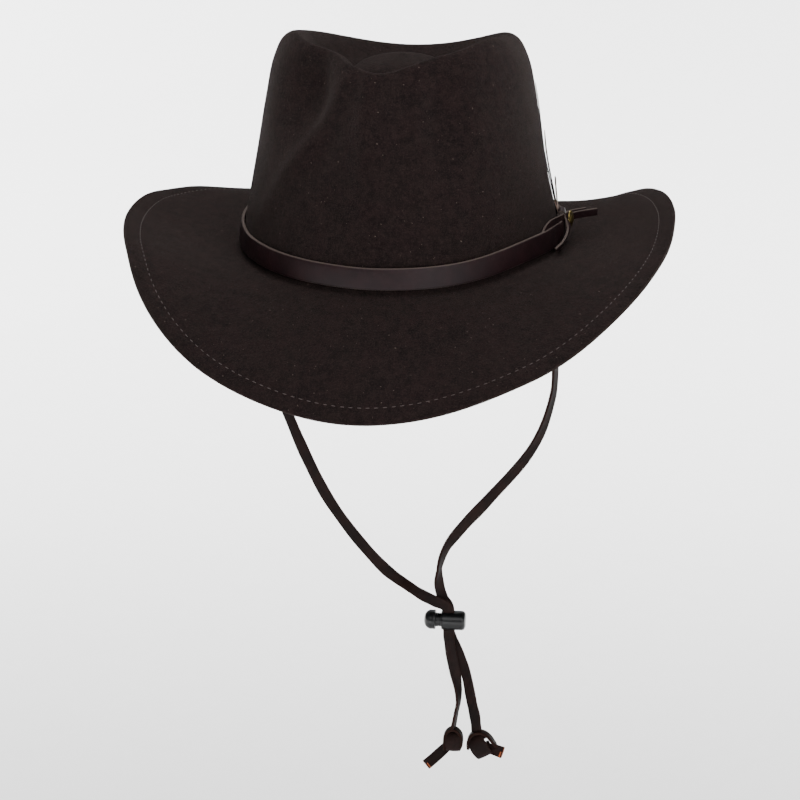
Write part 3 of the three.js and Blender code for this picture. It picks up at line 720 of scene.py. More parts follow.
# Dents and folds: degrees round the head from the hat's left side, share of the crown's height,
# spread in degrees, tallness as a share, lean in degrees for each share of height, and the push
# inwards as a share of the head's half width
DENTS = [
    (-129, 0.8, 14, 0.19, 0, 0.16),
    (-108, 0.45, 16, 0.22, 0, 0.03),
    (-64, 0.68, 10, 0.28, 0, 0.07),
    (-94, 0.62, 9, 0.4, 0, -0.045),
    (14, 0.38, 14, 0.2, 0, 0.02),
    (-126, 0.56, 5, 0.3, 58, -0.034),
    (-113, 0.31, 10, 0.09, 0, 0.016),
    (-116, 0.56, 6, 0.2, 50, 0.024),
    (-96, 0.7, 5, 0.26, 0, -0.026),
    (-82, 0.66, 5, 0.3, 8, 0.018),
    (-62, 0.55, 7, 0.25, 0, -0.01),
]
# The brim's slope in degrees at its foot, middle and edge, for each twelfth of the way round
# from the hat's left side by way of the back
BRIM = [
    (6, 15, 26),
    (4, 11, 20),
    (-10, -16, -23),
    (-12, -20, -28),
    (-8, -13, -18),
    (2, 4, 6),
    (7, 14, 23),
    (3, 11, 20),
    (-15, -25, -35),
    (-24, -40, -50),
    (-14, -23, -30),
    (0, 2, 4),
]
FELT_COLUMNS = 300
CROWN_STEPS = 84
BREAK_STEPS = 5
BRIM_STEPS = 42
STITCH_INSET = 8.6
GROOVE_DEPTH = 0.15
GROOVE_HALF = 1.1
UNDER_GROOVE = 0.8
EDGE_ROLL = 0.22
ROLL_HALF = 2.4
EDGE_SLACK = 45
EDGE_BULGE = 0.5
EDGE_TURNS = np.radians([62, 30, 0, -30, -62])
FAR_FROM_EDGE = 200.0
# Height, number round the brim and phase of the slack edge's waves
EDGE_WAVES = [(0.25, 9, 0.6), (0.2, 17, 2)]


def plan_normal(theta):
    across = np.stack([np.cos(theta) / HEAD_HALF_WIDTH, np.sin(theta) / HEAD_HALF_LENGTH, 0 * theta], -1)
    return unit(across)


def foot_lift(theta):
    """How far the wall's foot rises ahead of the hat's left side."""
    from_middle = np.arctan2(np.sin(theta - FOOT_LIFT_AT), np.cos(theta - FOOT_LIFT_AT))
    return FOOT_LIFT * np.exp(-((from_middle / FOOT_LIFT_SPREAD) ** 2))


def crown_curve(theta, along):
    """The crown's sections at angles theta, without the dents: (places, angles, 3)."""
    ahead = np.sin(theta) < 0
    rise = RIM_LEAN * np.cos(theta)
    for turn in theta + RIM_EASE[:, None]:
        towards_front = np.degrees(-np.arctan2(np.sin(turn), np.abs(np.cos(turn))))
        towards_front = towards_front - RIM_TURN * smoothstep(np.cos(turn), 0, RIM_TURN_FADE)
        rise = rise + RIM_RISE * np.interp(towards_front, *np.transpose(RIM)) / len(RIM_EASE)
    width, front, back, side, level_ahead, level_behind, share = np.transpose(CROWN)[..., None]
    end_level = np.where(ahead, level_ahead, level_behind)
    level = CROWN_HEIGHT * (side * np.cos(theta) ** 2 + end_level * np.sin(theta) ** 2)
    level = level + foot_lift(theta) * smoothstep(width, *FOOT_LIFT_ROWS)
    x = HEAD_HALF_WIDTH * width * np.cos(theta)
    y = HEAD_HALF_LENGTH * np.where(ahead, front, back) * np.sin(theta)
    return smooth_curve(np.stack([x, y, level + share * rise], -1), along)


def dented(points, theta):
    """The crown's points with the dents in them, which fade out towards the middle of the top."""
    out = np.hypot(points[..., 0] / HEAD_HALF_WIDTH, points[..., 1] / HEAD_HALF_LENGTH)
    push = 0
    for angle, height, spread, tall, lean, share in DENTS:
        up = points[..., 2] / CROWN_HEIGHT - height
        middle = np.radians(angle + lean * up)
        around = np.arctan2(np.sin(theta - middle), np.cos(theta - middle)) / math.radians(spread)
        push = push + HEAD_HALF_WIDTH * share * np.exp(-(around**2) - (up / tall) ** 2)
    return points - (push * smoothstep(out, *DENT_FADE))[..., None] * plan_normal(theta)


def brim_slopes(theta, share):
    """The brim's slope at angles theta and a share of its width, in radians."""
    turn = (theta / (2 * math.pi) * len(BRIM)) % len(BRIM)
    row = turn.astype(int)
    part = (turn - row)[:, None]
    a, b, c, d = (np.array(BRIM, float)[(row + k) % len(BRIM)] for k in (-1, 0, 1, 2))
    bend = c - a + part * (2 * a - 5 * b + 4 * c - d + part * (3 * b - a - 3 * c + d))
    foot, middle, edge = (b + part * bend / 2).T
    inner, outer = foot + (middle - foot) * 2 * share, middle + (edge - middle) * (2 * share - 1)
    return np.radians(inner if share < 0.5 else outer) - foot_lift(theta) / brim_width(theta)


def brim_width(theta):
    end = np.where(np.sin(theta) < 0, BRIM_FRONT, BRIM_BACK)
    return BRIM_SIDE * np.cos(theta) ** 2 + end * np.sin(theta) ** 2


def felt_rows(theta):
    """The felt's outer face, in rows from next to the middle of the top to the brim's edge."""
    places = np.arange(1, CROWN_STEPS + 1) / CROWN_STEPS
    rows = list(dented(crown_curve(theta, places), theta))
    outward = plan_normal(theta)
    near_foot = crown_curve(theta, [1 - 1e-4, 1])
    wall = near_foot[1] - near_foot[0]
    heading = np.arctan2(wall[:, 2], (wall * outward).sum(1))
    step = (brim_slopes(theta, 0) - heading) / BREAK_STEPS
    chord = 2 * BREAK_RADIUS * np.sin(step / 2)
    walks = [(heading + (k + 0.5) * step, chord) for k in range(BREAK_STEPS)]
    stride = (brim_width(theta) - BREAK_RADIUS) / BRIM_STEPS
    walks += [(brim_slopes(theta, (k + 0.5) / BRIM_STEPS), stride) for k in range(BRIM_STEPS)]
    for angle, distance in walks:
        upward = np.array([0, 0, 1]) * np.sin(angle)[:, None]
        rows.append(rows[-1] + distance[:, None] * (np.cos(angle)[:, None] * outward + upward))
    return np.stack(rows)


round_head = np.linspace(0, 2 * math.pi, FELT_COLUMNS, endpoint=False)
outer = felt_rows(round_head)
around = np.roll(outer, -1, axis=1) - np.roll(outer, 1, axis=1)
normals = unit(np.cross(around, np.gradient(outer, axis=0)))
normals *= np.sign(normals[-1, 0, 2])
rows = len(outer)
inset = np.full((rows, FELT_COLUMNS), FAR_FROM_EDGE)
stride = (brim_width(round_head) - BREAK_RADIUS) / BRIM_STEPS
inset[-BRIM_STEPS:] = (np.arange(BRIM_STEPS)[::-1, None]) * stride
groove = GROOVE_DEPTH * np.exp(-(((inset - STITCH_INSET) / GROOVE_HALF) ** 2))
roll = EDGE_ROLL * np.exp(-(((inset - STITCH_INSET / 2) / ROLL_HALF) ** 2))
wave = sum(height * np.sin(count * round_head + phase) for height, count, phase in EDGE_WAVES)
slack = np.clip(1 - inset / EDGE_SLACK, 0, 1) ** 2 * wave
top_face = outer + normals * (roll - groove + slack)[..., None]
under_face = outer + normals * (-FELT + groove * UNDER_GROOVE + slack)[..., None]
edge_out = unit(outer[-1] - outer[-2])
middle = (top_face[-1] + under_face[-1]) / 2
half = np.linalg.norm(top_face[-1] - under_face[-1], axis=1, keepdims=True) / 2
bulge = np.stack(
    [
        middle + half * (normals[-1] * math.sin(turn) + EDGE_BULGE * edge_out * math.cos(turn))
        for turn in EDGE_TURNS
    ]
)
shell = np.concatenate([top_face, bulge, under_face[::-1]])
top_point = crown_curve(round_head[:1], [0])[0]
points = np.concatenate([shell.reshape(-1, 3), top_point, top_point - [[0, 0, FELT]]]) * MM
faces = []
column = np.arange(FELT_COLUMNS)
for row in range(len(shell) - 1):
    a = row * FELT_COLUMNS + column
    b = np.roll(a, -1)
    faces += np.stack([a, a + FELT_COLUMNS, b + FELT_COLUMNS, b], 1).tolist()
last = (len(shell) - 1) * FELT_COLUMNS + column
faces += [(len(points) - 2, a, b) for a, b in zip(column.tolist(), np.roll(column, -1).tolist())]
faces += [(len(points) - 1, b, a) for a, b in zip(last.tolist(), np.roll(last, -1).tolist())]
cut_edge = np.zeros(len(points))
cut_edge[rows * FELT_COLUMNS : (rows + len(bulge)) * FELT_COLUMNS] = 1

felt = Finish(
    "brushed_wool_felt",
    {
        "Roughness": 0.92,
        "Specular IOR Level": 0.05,
        "Sheen Weight": 0.03,
        "Sheen Roughness": 0.42,
        "Sheen Tint": (0.9, 0.72, 0.66, 1),
    },
)
felt_place = felt.place()
patches = felt.between(felt.noise(felt_place, 26, 3, 0.6), 0.35, 0.65)
mottle = felt.between(felt.noise(felt_place, 210, 5, 0.75), 0.38, 0.64)
ruddy = felt.between(felt.noise(felt_place, 75, 4, 0.6), 0.42, 0.62)
fibres = felt.noise(felt_place, 1300, 4, 0.8)
hairs = felt.between(felt.noise(felt_place, 620, 5, 0.85), 0.46, 0.6)
lint = felt.between(felt.noise(felt_place, 800, 1, 0.3), 0.77, 0.81)
wool = felt.mixed(mottle, shade(11, 8, 8), shade(27, 20, 19))
for mask, dye in (
    (0.35 * patches, shade(20, 16, 14)),
    (0.35 * ruddy, shade(27, 17, 17)),
    (0.75 * felt.between(fibres, 0.45, 0.62), shade(36, 27, 26)),
    (0.5 * hairs, shade(10, 7, 7)),
    (0.4 * felt.mark("raw"), shade(38, 29, 26)),
    (0.5 * lint, shade(92, 80, 73)),
):
    wool = felt.mixed(mask, wool, dye)
nap = felt.bump(0.6 * fibres + 0.4 * hairs, 0.00028)
wool_felt = felt.surface(Base_Color=wool, Normal=nap)

felt_body = mesh_piece("felt_crown_and_brim", points, faces, wool_felt, {"raw": cut_edge}, crease=80)
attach(felt_body, "hat")
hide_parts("felt_body")


# Brim stitching: one row of short lockstitches in reddish brown thread, sunk into the felt near
# the brim's edge. The same row shows on the underside.
STITCH_PITCH = 4.3
STITCH_LENGTH = 3.1
STITCH_SLIP = 0.03
THREAD = 0.42
STITCH_SINK = np.array([-0.5, -0.12, 0.0, 0.0, -0.12, -0.5])
THREAD_TAPER = np.array([0.8, 1, 1, 1, 1, 0.8])


def stitch_shells(side):
    """A row of stitches on the brim's face, where side is 1 on top and -1 underneath."""
    back = rows - 1 - STITCH_INSET / stride
    row = back.astype(int)
    part = (back - row)[:, None]
    face = top_face if side > 0 else under_face
    line = face[row, column] * (1 - part) + face[row + 1, column] * part
    line = np.concatenate([line, line[:1]])
    lift = np.concatenate([normals[row, column], normals[row[:1], column[:1]]]) * side
    reach = np.concatenate([[0], np.cumsum(np.linalg.norm(np.diff(line, axis=0), axis=1))])
    count = int(reach[-1] / STITCH_PITCH)
    circle = np.radians(np.arange(0, 360, 60))
    shells = []
    for k in range(count):
        start = (k + STITCH_SLIP * random.uniform(-1, 1)) * reach[-1] / count
        spots = (start + np.linspace(0, STITCH_LENGTH, len(STITCH_SINK))) % reach[-1]
        spine = np.stack([np.interp(spots, reach, line[:, axis]) for axis in range(3)], 1)
        up = unit(np.stack([np.interp(spots, reach, lift[:, axis]) for axis in range(3)], 1))
        spine = spine + up * STITCH_SINK[:, None]
        aside = unit(np.cross(np.gradient(spine, axis=0), up))
        thick = THREAD / 2 * THREAD_TAPER[:, None, None]
        wheel = np.cos(circle)[:, None] * aside[:, None] + np.sin(circle)[:, None] * up[:, None]
        shells.append(spine[:, None] + thick * wheel)
    return shells


thread = Finish("stitching_thread", {"Roughness": 0.7, "Sheen Weight": 0.1})
twist = thread.noise(thread.place(), 3000, 2)
thread_dye = thread.mixed(twist, shade(34, 22, 20), shade(54, 37, 34))
spun_thread = thread.surface(Base_Color=thread_dye, Normal=thread.bump(twist, 0.0001))
for name, side in (("brim_stitching_top", 1), ("brim_stitching_under", -1)):
    stitching = shells_mesh(name, stitch_shells(side), spun_thread)
    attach(stitching, "hat")


# Hatband: a smooth oxblood leather strap round the foot of the crown, with its raw edges left
# undyed. Its ends meet under the keeper, where it stands off the felt for the feathers' quills.
HATBAND_WIDTH = 11
HATBAND_LEATHER = 1.8
HATBAND_SEAT = 0.5
HATBAND_RISE = 0.5
KNOT_OFFSET = 5.5
KNOT_ROOM = 19
KNOT_EASE = 12
KEEPER_WIDTH = 11
KEEPER_LEATHER = 1.2
QUILL = 1.2
BAND_FOOT = BREAK_RADIUS + HATBAND_RISE
BAND_TOP = BAND_FOOT + HATBAND_WIDTH
KNOT_ANGLE = math.asin(KNOT_OFFSET / HEAD_HALF_LENGTH)
STAND_OFF = max(QUILL, KEEPER_LEATHER) + 2 * HATBAND_SEAT
BAND_STEPS = 420
BAND_CROWNING = 0.14
WALL_PLACES = np.linspace(0.5, 1, 90)


def beside_wall(theta, height, distance):
    """Points at a height on the crown's wall and at a distance outside it, from like arrays."""
    given = (np.asarray(values, float) for values in (theta, height, distance))
    theta, height, distance = np.broadcast_arrays(*given)
    shape = theta.shape
    theta, height, distance = theta.ravel(), height.ravel(), distance.ravel()
    bare = crown_curve(theta, WALL_PLACES)
    wall = dented(bare, theta)
    below = np.clip((bare[..., 2] > height).sum(0), 1, len(WALL_PLACES) - 1)
    each = np.arange(len(theta))
    high, low = bare[below - 1, each, 2], bare[below, each, 2]
    part = np.clip((high - height) / (high - low), 0, 1)[:, None]
    point = wall[below - 1, each] * (1 - part) + wall[below, each] * part
    point[:, 2] = height
    return (point + distance[:, None] * plan_normal(theta)).reshape(*shape, 3)


def band_gap(theta):
    along = HEAD_HALF_LENGTH * np.arctan2(np.sin(theta - KNOT_ANGLE), np.cos(theta - KNOT_ANGLE))
    front = smoothstep(along, -KEEPER_WIDTH - KNOT_EASE, -KEEPER_WIDTH)
    back = 1 - smoothstep(along, KNOT_ROOM, KNOT_ROOM + KNOT_EASE)
    return HATBAND_SEAT + (STAND_OFF - HATBAND_SEAT) * front * back


band_leather = leather_finish(
    "band_leather",
    face=shade(29, 15, 17),
    deep=shade(22, 12, 14),
    edge=shade(60, 51, 47),
    core=shade(76, 62, 52),
    roughness=0.42,
    pores=1900,
    gloss=0.14,
)
across, through, raw = strip_section(HATBAND_WIDTH, HATBAND_LEATHER, flats=9, ease=0.3)
joint = CLEARANCE / HEAD_HALF_LENGTH
round_band = KNOT_ANGLE + np.linspace(joint / 2, 2 * math.pi - joint / 2, BAND_STEPS)
heights = BAND_FOOT + HATBAND_WIDTH / 2 + across + foot_lift(round_band)[:, None]
crowning = BAND_CROWNING * (1 - (2 * across / HATBAND_WIDTH) ** 2)
distances = band_gap(round_band)[:, None] + HATBAND_LEATHER / 2 + through + crowning
band_rings = beside_wall(round_band[:, None] + 0 * across, heights, distances)
band_marks = {"raw": np.broadcast_to(raw, band_rings.shape[:2])}
hatband = shells_mesh("leather_hatband", [band_rings], band_leather, band_marks)
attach(hatband, "hat")
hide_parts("hatband")


# Keeper: a softer strip of the same leather, wound slantwise round the band where its ends meet.
# It rolls over the band's top edge, and its tongue runs ahead along that edge and ends behind it.
KEEPER_CORNER = 1.2
KEEPER_ROLL = 2.4
KEEPER_FACE = STAND_OFF + HATBAND_LEATHER + HATBAND_SEAT + KEEPER_LEATHER
KEEPER_STEPS = 110


def beside_knot(behind, distance, height):
    theta = KNOT_ANGLE + np.asarray(behind) / HEAD_HALF_LENGTH
    return beside_wall(theta, height + foot_lift(theta), distance)


inner = HATBAND_SEAT + KEEPER_LEATHER / 2
outer_face = KEEPER_FACE - KEEPER_LEATHER / 2
low = BAND_FOOT - CLEARANCE - KEEPER_LEATHER / 2
high = BAND_TOP + CLEARANCE + KEEPER_LEATHER / 2
between_faces = outer_face - inner
# Distance from the wall, height, how far the strip lies behind its place, and its share of width
KEEPER_ROUTE = [
    (inner, high - KEEPER_CORNER, 0, 1),
    (inner, (low + high) / 2, 0, 1),
    (inner, low + KEEPER_CORNER, -1, 1),
    (inner + 0.25 * between_faces, low, -13, 1),
    (inner + 0.75 * between_faces, low, -26, 1),
    (outer_face, low + 1.8 * KEEPER_CORNER, -30, 1),
    (outer_face + 1.2, low + 0.35 * (high - low), -19, 1),
    (outer_face + 1.8, low + 0.65 * (high - low), -8, 0.95),
    (outer_face + 0.2, high - KEEPER_CORNER / 2, -0.8, 0.9),
    (inner + 0.8 * between_faces, high + KEEPER_ROLL, 0, 0.85),
    (inner + 0.45 * between_faces, high + KEEPER_ROLL, 0, 0.85),
    (inner + 0.2 * between_faces, high + KEEPER_ROLL / 2, 0, 0.85),
]


def wound_strip(route, width, leather, steps):
    """A strip on the wall, from rows of distance, height, how far behind and share of width."""
    path = smooth_curve(route, np.linspace(0, 1, steps))
    tangent = unit(np.gradient(path[:, :2], axis=0))
    across, through, raw = strip_section(width, leather, flats=9, ease=0.34)
    out = path[:, :1] + tangent[:, 1:] * through
    up = path[:, 1:2] - tangent[:, :1] * through
    rings = beside_knot(path[:, 2:3] + across * path[:, 3:], out, up)[:, ::-1]
    return rings, {"raw": np.broadcast_to(raw[::-1], rings.shape[:2])}


# The tongue's rows: how far behind the knot's middle, distance from the wall, height, share
TONGUE_ROWS = [
    (-42, 0.75, 13.6, 0.3),
    (-36, 0.8, 15.2, 0.8),
    (-28, 1.0, 16.2, 1),
    (-20, 1.6, 16.0, 1),
    (-12, 2.8, 15.5, 1),
    (-4, 4.4, 15.3, 0.9),
]
TONGUE_WIDTH = 5
tongue = smooth_curve(TONGUE_ROWS, np.linspace(0, 1, 60))
tongue_spine = beside_knot(tongue[:, 0], tongue[:, 1], tongue[:, 2])
tongue_facing = plan_normal(KNOT_ANGLE + tongue[:, 0] / HEAD_HALF_LENGTH)
tongue_rings, tongue_marks = ribbon(
    tongue_spine, tongue_facing, TONGUE_WIDTH, KEEPER_LEATHER, share=tongue[:, 3]
)
tongue_marks = {"raw": tongue_marks["raw"]}
wound_rings, wound_marks = wound_strip(KEEPER_ROUTE, KEEPER_WIDTH, KEEPER_LEATHER, KEEPER_STEPS)
keeper_marks = joined_marks([wound_marks, tongue_marks])
keeper = shells_mesh("leather_keeper", [wound_rings, tongue_rings], band_leather, keeper_marks)
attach(keeper, "hat")
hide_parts("band_keeper")


# Tails: the two narrow ends of the band's knot, which lift off to the side in a curve.
TAIL_WIDTH = 4
TAIL_LEATHER = 1.6
TAIL_STEPS = 40
# Where each starts and ends behind the knot, its distance from the wall, its reach and its bend
TAILS = {
    "band_tail_front": (5.2, 15.5, KEEPER_FACE, 15.2, 1.7),
    "band_tail_back": (6.4, 17, STAND_OFF + HATBAND_LEATHER, 11, 2.5),
}
for name, (start, end, seat, reach, bend) in TAILS.items():
    share = np.linspace(0, 1, TAIL_STEPS)
    behind = start + (end - start) * share
    away = seat + CLEARANCE + TAIL_LEATHER / 2 + reach * share**bend
    spine = beside_knot(behind, away, BAND_TOP - TAIL_WIDTH / 2)
    facing = np.cross(np.gradient(spine, axis=0), [0, 0, 1])
    rings, marks = ribbon(spine, facing, TAIL_WIDTH, TAIL_LEATHER, flats=3)
    tail = shells_mesh("leather_" + name, [rings], band_leather, marks)
    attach(tail, "hat")
    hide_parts(name)


# Stud: a plain round button of aged brass on the keeper's face, with a stepped rim, a ring of
# beads and a low dome.
STUD_DIAMETER = 9.4
STUD_HEIGHT = 2.2
STUD_TURN = -10
STUD_DROP = 1.5
STUD_SIDES = 64
BEADS = 30
BEAD_SIDES = 8
BEAD_RADIUS = 0.32
BEAD_RISE = 0.3
BEAD_RING = (0.77, 0.44)
# Radius as a share of the stud's, and distance along its axis as a share of its height
STUD_PROFILE = [
    (0.02, 0),
    (0.9, 0),
    (0.97, 0.04),
    (1, 0.12),
    (1, 0.3),
    (0.97, 0.42),
    (0.9, 0.5),
    (0.84, 0.48),
    (0.8, 0.42),
    (0.74, 0.42),
    (0.68, 0.56),
    (0.6, 0.8),
    (0.46, 0.93),
    (0.3, 0.99),
    (0.02, 1),
]
stud_radius = STUD_DIAMETER / 2
stud_seat = KEEPER_FACE + CLEARANCE - stud_radius * math.sin(math.radians(STUD_TURN))
stud_at = beside_knot(0.0, stud_seat, BAND_TOP - STUD_DROP)
stud_angle = KNOT_ANGLE + math.radians(STUD_TURN)
stud_axis = np.array([math.cos(stud_angle), math.sin(stud_angle), 0])
stud_aside = np.array([-math.sin(stud_angle), math.cos(stud_angle), 0])


def turned_on_stud(middle, profile, sides):
    """Rings round the stud's axis, from (radius, distance along the axis) pairs."""
    wheel = np.linspace(0, 2 * math.pi, sides, endpoint=False)
    circle = np.cos(wheel)[:, None] * stud_aside + np.sin(wheel)[:, None] * np.array([0, 0, 1])
    return np.stack([middle + along * stud_axis + out * circle for out, along in profile])


stud_profile = [(out * stud_radius, along * STUD_HEIGHT) for out, along in STUD_PROFILE]
stud_shells = [turned_on_stud(stud_at, stud_profile, STUD_SIDES)]
bead_turns = np.radians([90, 65, 35, 5])
bead_profile = [(BEAD_RADIUS * math.sin(turn), BEAD_RISE * math.cos(turn)) for turn in bead_turns]
bead_ring_at = (BEAD_RING[0] * stud_radius, BEAD_RING[1] * STUD_HEIGHT)
bead_ring = turned_on_stud(stud_at, [bead_ring_at], BEADS)[0]
stud_shells += [turned_on_stud(middle, bead_profile, BEAD_SIDES) for middle in bead_ring]
brass = Finish("aged_brass", {"Metallic": 1.0})
tarnish = brass.between(brass.noise(brass.place(), 520, 5, 0.65), 0.35, 0.62)
aged_brass = brass.surface(
    Base_Color=brass.mixed(tarnish, shade(146, 128, 78), shade(64, 55, 34)),
    Roughness=0.28 + 0.3 * tarnish,
    Normal=brass.bump(brass.noise(brass.place(), 2400, 3), 0.00003),
)
stud = shells_mesh("brass_stud", stud_shells, aged_brass, crease=50)
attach(stud, "hat")
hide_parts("stud")


# Feathers: three small ones laid up the crown's wall with their quills behind the band. Each has
# a tapering quill and two rows of fine barbs, which part here and there.
VANE_START = BAND_TOP + 5
VANE_LAYER = 0.55
VANE_SEAT = 0.25
VANE_FLARE = 1.1
VANE_PLACES = [0, 0.1, 0.28, 0.5, 0.75, 0.92, 1]
VANE_SHARES = [0.2, 0.55, 0.95, 1, 0.8, 0.45, 0.1]
QUILL_STEPS = 40
QUILL_SEAT = 0.6
QUILL_AT_VANE = 0.42
QUILL_AT_TIP = 0.12
BARBS = 120
BARB_SLANT = 38
TIP_SLANT = 26
PARTING = 2.2
BARB_CURL = 0.16
BARB_LOOSE = 0.15
BARB_STEPS = 6
BARB_WIDTH = 0.34
BARB_TAPER = np.array([0.9, 1, 1, 1, 0.85, 0.35])
BARB_SECTION = np.array([(-1, 0), (0, 0.4), (1, 0), (0, -0.4)])


def feather_shells(quill, tip, top, width, layer):
    """A quill from behind the band up the wall to its tip, and the barbs on both its sides."""
    foot, end = BAND_FOOT + 1, top * CROWN_HEIGHT

    def quill_at(height):
        return quill + (tip - quill) * (height - foot) / (end - foot)

    heights = np.linspace(foot, end - 1, QUILL_STEPS)
    clear_of_band = smoothstep(heights, BAND_TOP, VANE_START)
    flare = VANE_FLARE * np.clip((heights - VANE_START) / (end - VANE_START), 0, 1)
    away = HATBAND_SEAT + QUILL / 2 + (layer * (VANE_LAYER + flare) - QUILL_SEAT) * clear_of_band
    spine = beside_knot(quill_at(heights), away, heights)
    circle = np.radians(np.arange(0, 360, 45))
    girths = [QUILL / 2, QUILL_AT_VANE, QUILL_AT_TIP]
    girth = np.interp(heights, [foot, VANE_START, end], girths)[:, None, None]
    outward = plan_normal(np.full(QUILL_STEPS, KNOT_ANGLE + quill / HEAD_HALF_LENGTH))
    aside = unit(np.cross(np.gradient(spine, axis=0), outward))
    wheel = np.cos(circle)[:, None] * aside[:, None] + 0.8 * np.sin(circle)[:, None] * outward[:, None]
    shells = [spine[:, None] + girth * wheel]
    up_the_vane = [np.repeat((heights - foot) / (end - foot), len(circle))]
    from_quill = [np.zeros(QUILL_STEPS * len(circle))]
    tones = [np.full(QUILL_STEPS * len(circle), -1.0)]
    reach = np.linspace(0, 1, BARB_STEPS)
    for side in (-1, 1):
        parting = np.cumsum([random.gauss(0, 1) for _ in range(BARBS)])
        for k in range(BARBS):
            share = (k + 0.5) / BARBS
            start = VANE_START + share * (end - VANE_START - 2)
            long = width / 2 * np.interp(share, VANE_PLACES, VANE_SHARES)
            long *= 1.12 + 0.05 * random.uniform(-1, 1)
            parted = PARTING * math.sin(parting[k] * 0.6)
            slant = math.radians(BARB_SLANT + TIP_SLANT * share**3 + parted)
            behind = quill_at(start) + side * long * math.cos(slant) * reach
            height = np.minimum(start + long * (math.sin(slant) * reach + BARB_CURL * reach**2), end)
            flare = layer * (VANE_LAYER + VANE_FLARE * share)
            lift = VANE_SEAT + flare + BARB_LOOSE * (random.random() + reach**2)
            barb = beside_knot(behind, lift, height)
            normal = plan_normal(KNOT_ANGLE + behind / HEAD_HALF_LENGTH)
            edge = unit(np.cross(np.gradient(barb, axis=0), normal))
            ring = BARB_SECTION[:, :1] * edge[:, None] + BARB_SECTION[:, 1:] * normal[:, None]
            shells.append(barb[:, None] + BARB_WIDTH * BARB_TAPER[:, None, None] * ring)
            up_the_vane.append(np.repeat((height - foot) / (end - foot), len(BARB_SECTION)))
            from_quill.append(np.repeat(reach, len(BARB_SECTION)))
            tones.append(np.full(BARB_STEPS * len(BARB_SECTION), random.random()))
    marks = {"up": up_the_vane, "out": from_quill, "tone": tones}
    return shells, {name: np.concatenate(values) for name, values in marks.items()}


def feather_finish(name, low_dye, ground, bars, tip, bar_count, bar_share, pattern_from, tip_from):
    """Barbs in bands of two colours above a darker downy part, with a pale tip."""
    finish = Finish(name, {"Roughness": 0.8, "Specular IOR Level": 0.08})
    up, out, tone = finish.mark("up"), finish.mark("out"), finish.mark("tone")
    wobble = finish.noise(finish.place(), 180, 3)
    across_vane = (up - 0.12 * out + 0.05 * wobble) * bar_count
    barring = finish.between(finish.maths_of("SINE", across_vane), 0.1, 0.5) * bar_share
    vane = finish.mixed(barring, ground, bars)
    uneven = up + 0.08 * (tone - 0.5)
    vane = finish.mixed(finish.between(uneven, pattern_from, pattern_from + 0.1), low_dye, vane)
    uneven = up + 0.06 * (tone - 0.5)
    vane = finish.mixed(finish.between(uneven, tip_from, tip_from + 0.05), vane, tip)
    vane = finish.mixed(0.3 * tone, vane, low_dye)
    shaft = finish.mixed(finish.between(up, 0.1, 0.25), shade(176, 146, 134), low_dye)
    colour = finish.mixed(finish.between(tone, -0.6, -0.2), shaft, vane)
    down = finish.noise(finish.place(), 4000, 2)
    return finish.surface(Base_Color=colour, Normal=finish.bump(down, 0.00005))


# Where the quill and the tip lie behind the knot, the tip's share of the crown's height, the width
# and the layer. Then the dyes low down, of the ground, bars and tip, the number of bars in radians,
# their share, and where the pattern and the tip start.
FEATHERS = {
    "feather_long": (
        (9.8, 11, 0.72, 13, 0),
        (shade(20, 16, 15), shade(18, 15, 14), shade(34, 28, 25), shade(140, 134, 130)),
        (34, 0.4, 0.2, 0.93),
    ),
    "feather_barred": (
        (12.8, 12, 0.5, 14, 1),
        (shade(28, 22, 19), shade(118, 96, 74), shade(36, 28, 23), shade(176, 164, 150)),
        (40, 0.8, 0.7, 0.92),
    ),
    "feather_cream": (
        (6.8, 6, 0.3, 9, 2),
        (shade(158, 140, 130), shade(112, 102, 94), shade(84, 75, 68), shade(62, 55, 50)),
        (22, 0.5, 0.5, 0.8),
    ),
}
for name, (sizes, dyes, pattern) in FEATHERS.items():
    shells, marks = feather_shells(*sizes)
    barbs = feather_finish(name + "_barbs", *dyes, *pattern)
    feather = shells_mesh(name + "_vane", shells, barbs, marks)
    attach(feather, "hat")
    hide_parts(name)


# Sweatband: a thin leather band inside the head opening, stitched to the felt at its foot. It
# leaves a pocket at the sides and the back for the strap's held stretch.
SWEATBAND_HEIGHT = 32
SWEATBAND_LEATHER = 1
LACE_POCKET = 0.75
SWEATBAND_STEPS = 260


def pocket_width(theta):
    room = LACE_LEATHER + 2 * LACE_POCKET
    end = np.where(np.sin(theta) < 0, HATBAND_SEAT, room)
    return room * np.cos(theta) ** 2 + end * np.sin(theta) ** 2


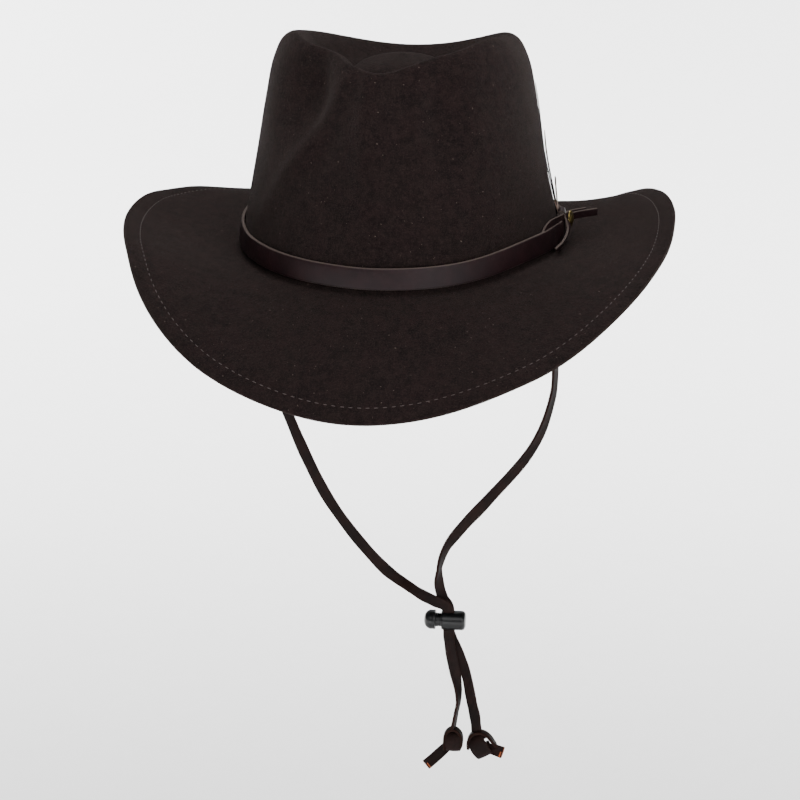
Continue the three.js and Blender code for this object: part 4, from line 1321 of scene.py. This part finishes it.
sweat_leather = leather_finish(
    "sweatband_leather",
    face=shade(30, 23, 20),
    deep=shade(22, 17, 15),
    edge=shade(58, 46, 38),
    core=shade(76, 58, 46),
    roughness=0.55,
    pores=1300,
    gloss=0.35,
)
across, through, raw = strip_section(SWEATBAND_HEIGHT, SWEATBAND_LEATHER, flats=14, ease=0.35)
seam = CLEARANCE / HEAD_HALF_LENGTH
round_seam = math.pi / 2 + np.linspace(seam / 2, 2 * math.pi - seam / 2, SWEATBAND_STEPS)
heights = across + SWEATBAND_HEIGHT / 2 + 0 * round_seam[:, None]
distances = -FELT - pocket_width(round_seam)[:, None] - SWEATBAND_LEATHER / 2 + through
sweat_rings = beside_wall(round_seam[:, None] + 0 * across, np.maximum(heights, BREAK_RADIUS), distances)
sweat_rings[..., 2] = heights
sweat_marks = {"raw": np.broadcast_to(raw, sweat_rings.shape[:2])}
sweatband = shells_mesh("leather_sweatband", [sweat_rings], sweat_leather, sweat_marks)
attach(sweatband, "hat")
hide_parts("sweatband")


# Held stretch of the chin strap: the same lace, which goes round the back of the head opening
# between the felt and the sweatband.
LACE_HEIGHT = 10
HELD_HALF = [(0, 0), (0, 0.35), (2.4, 0.8), (7, 1), (20, 1), (40, 1), (60, 1), (80, 1)]
held_route = np.array(HELD_HALF + [(180 - angle, height) for angle, height in HELD_HALF[::-1]])
held_theta, held_height = np.radians(held_route[:, 0]), held_route[:, 1] * LACE_HEIGHT
held_distance = -FELT - pocket_width(held_theta) / 2
held_points = beside_wall(held_theta, np.maximum(held_height, BREAK_RADIUS), held_distance)
held_points[:, 2] = held_height
spine = smooth_curve(held_points, np.linspace(0, 1, 220))
facing = plan_normal(np.arctan2(spine[:, 1] / HEAD_HALF_LENGTH, spine[:, 0] / HEAD_HALF_WIDTH))
rings, marks = ribbon(spine, facing, LACE_WIDTH, LACE_LEATHER - 0.1)
held_lace = shells_mesh("lace_held_stretch", [rings], lace_leather, marks)
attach(held_lace, "hat")
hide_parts("chin_strap_back")
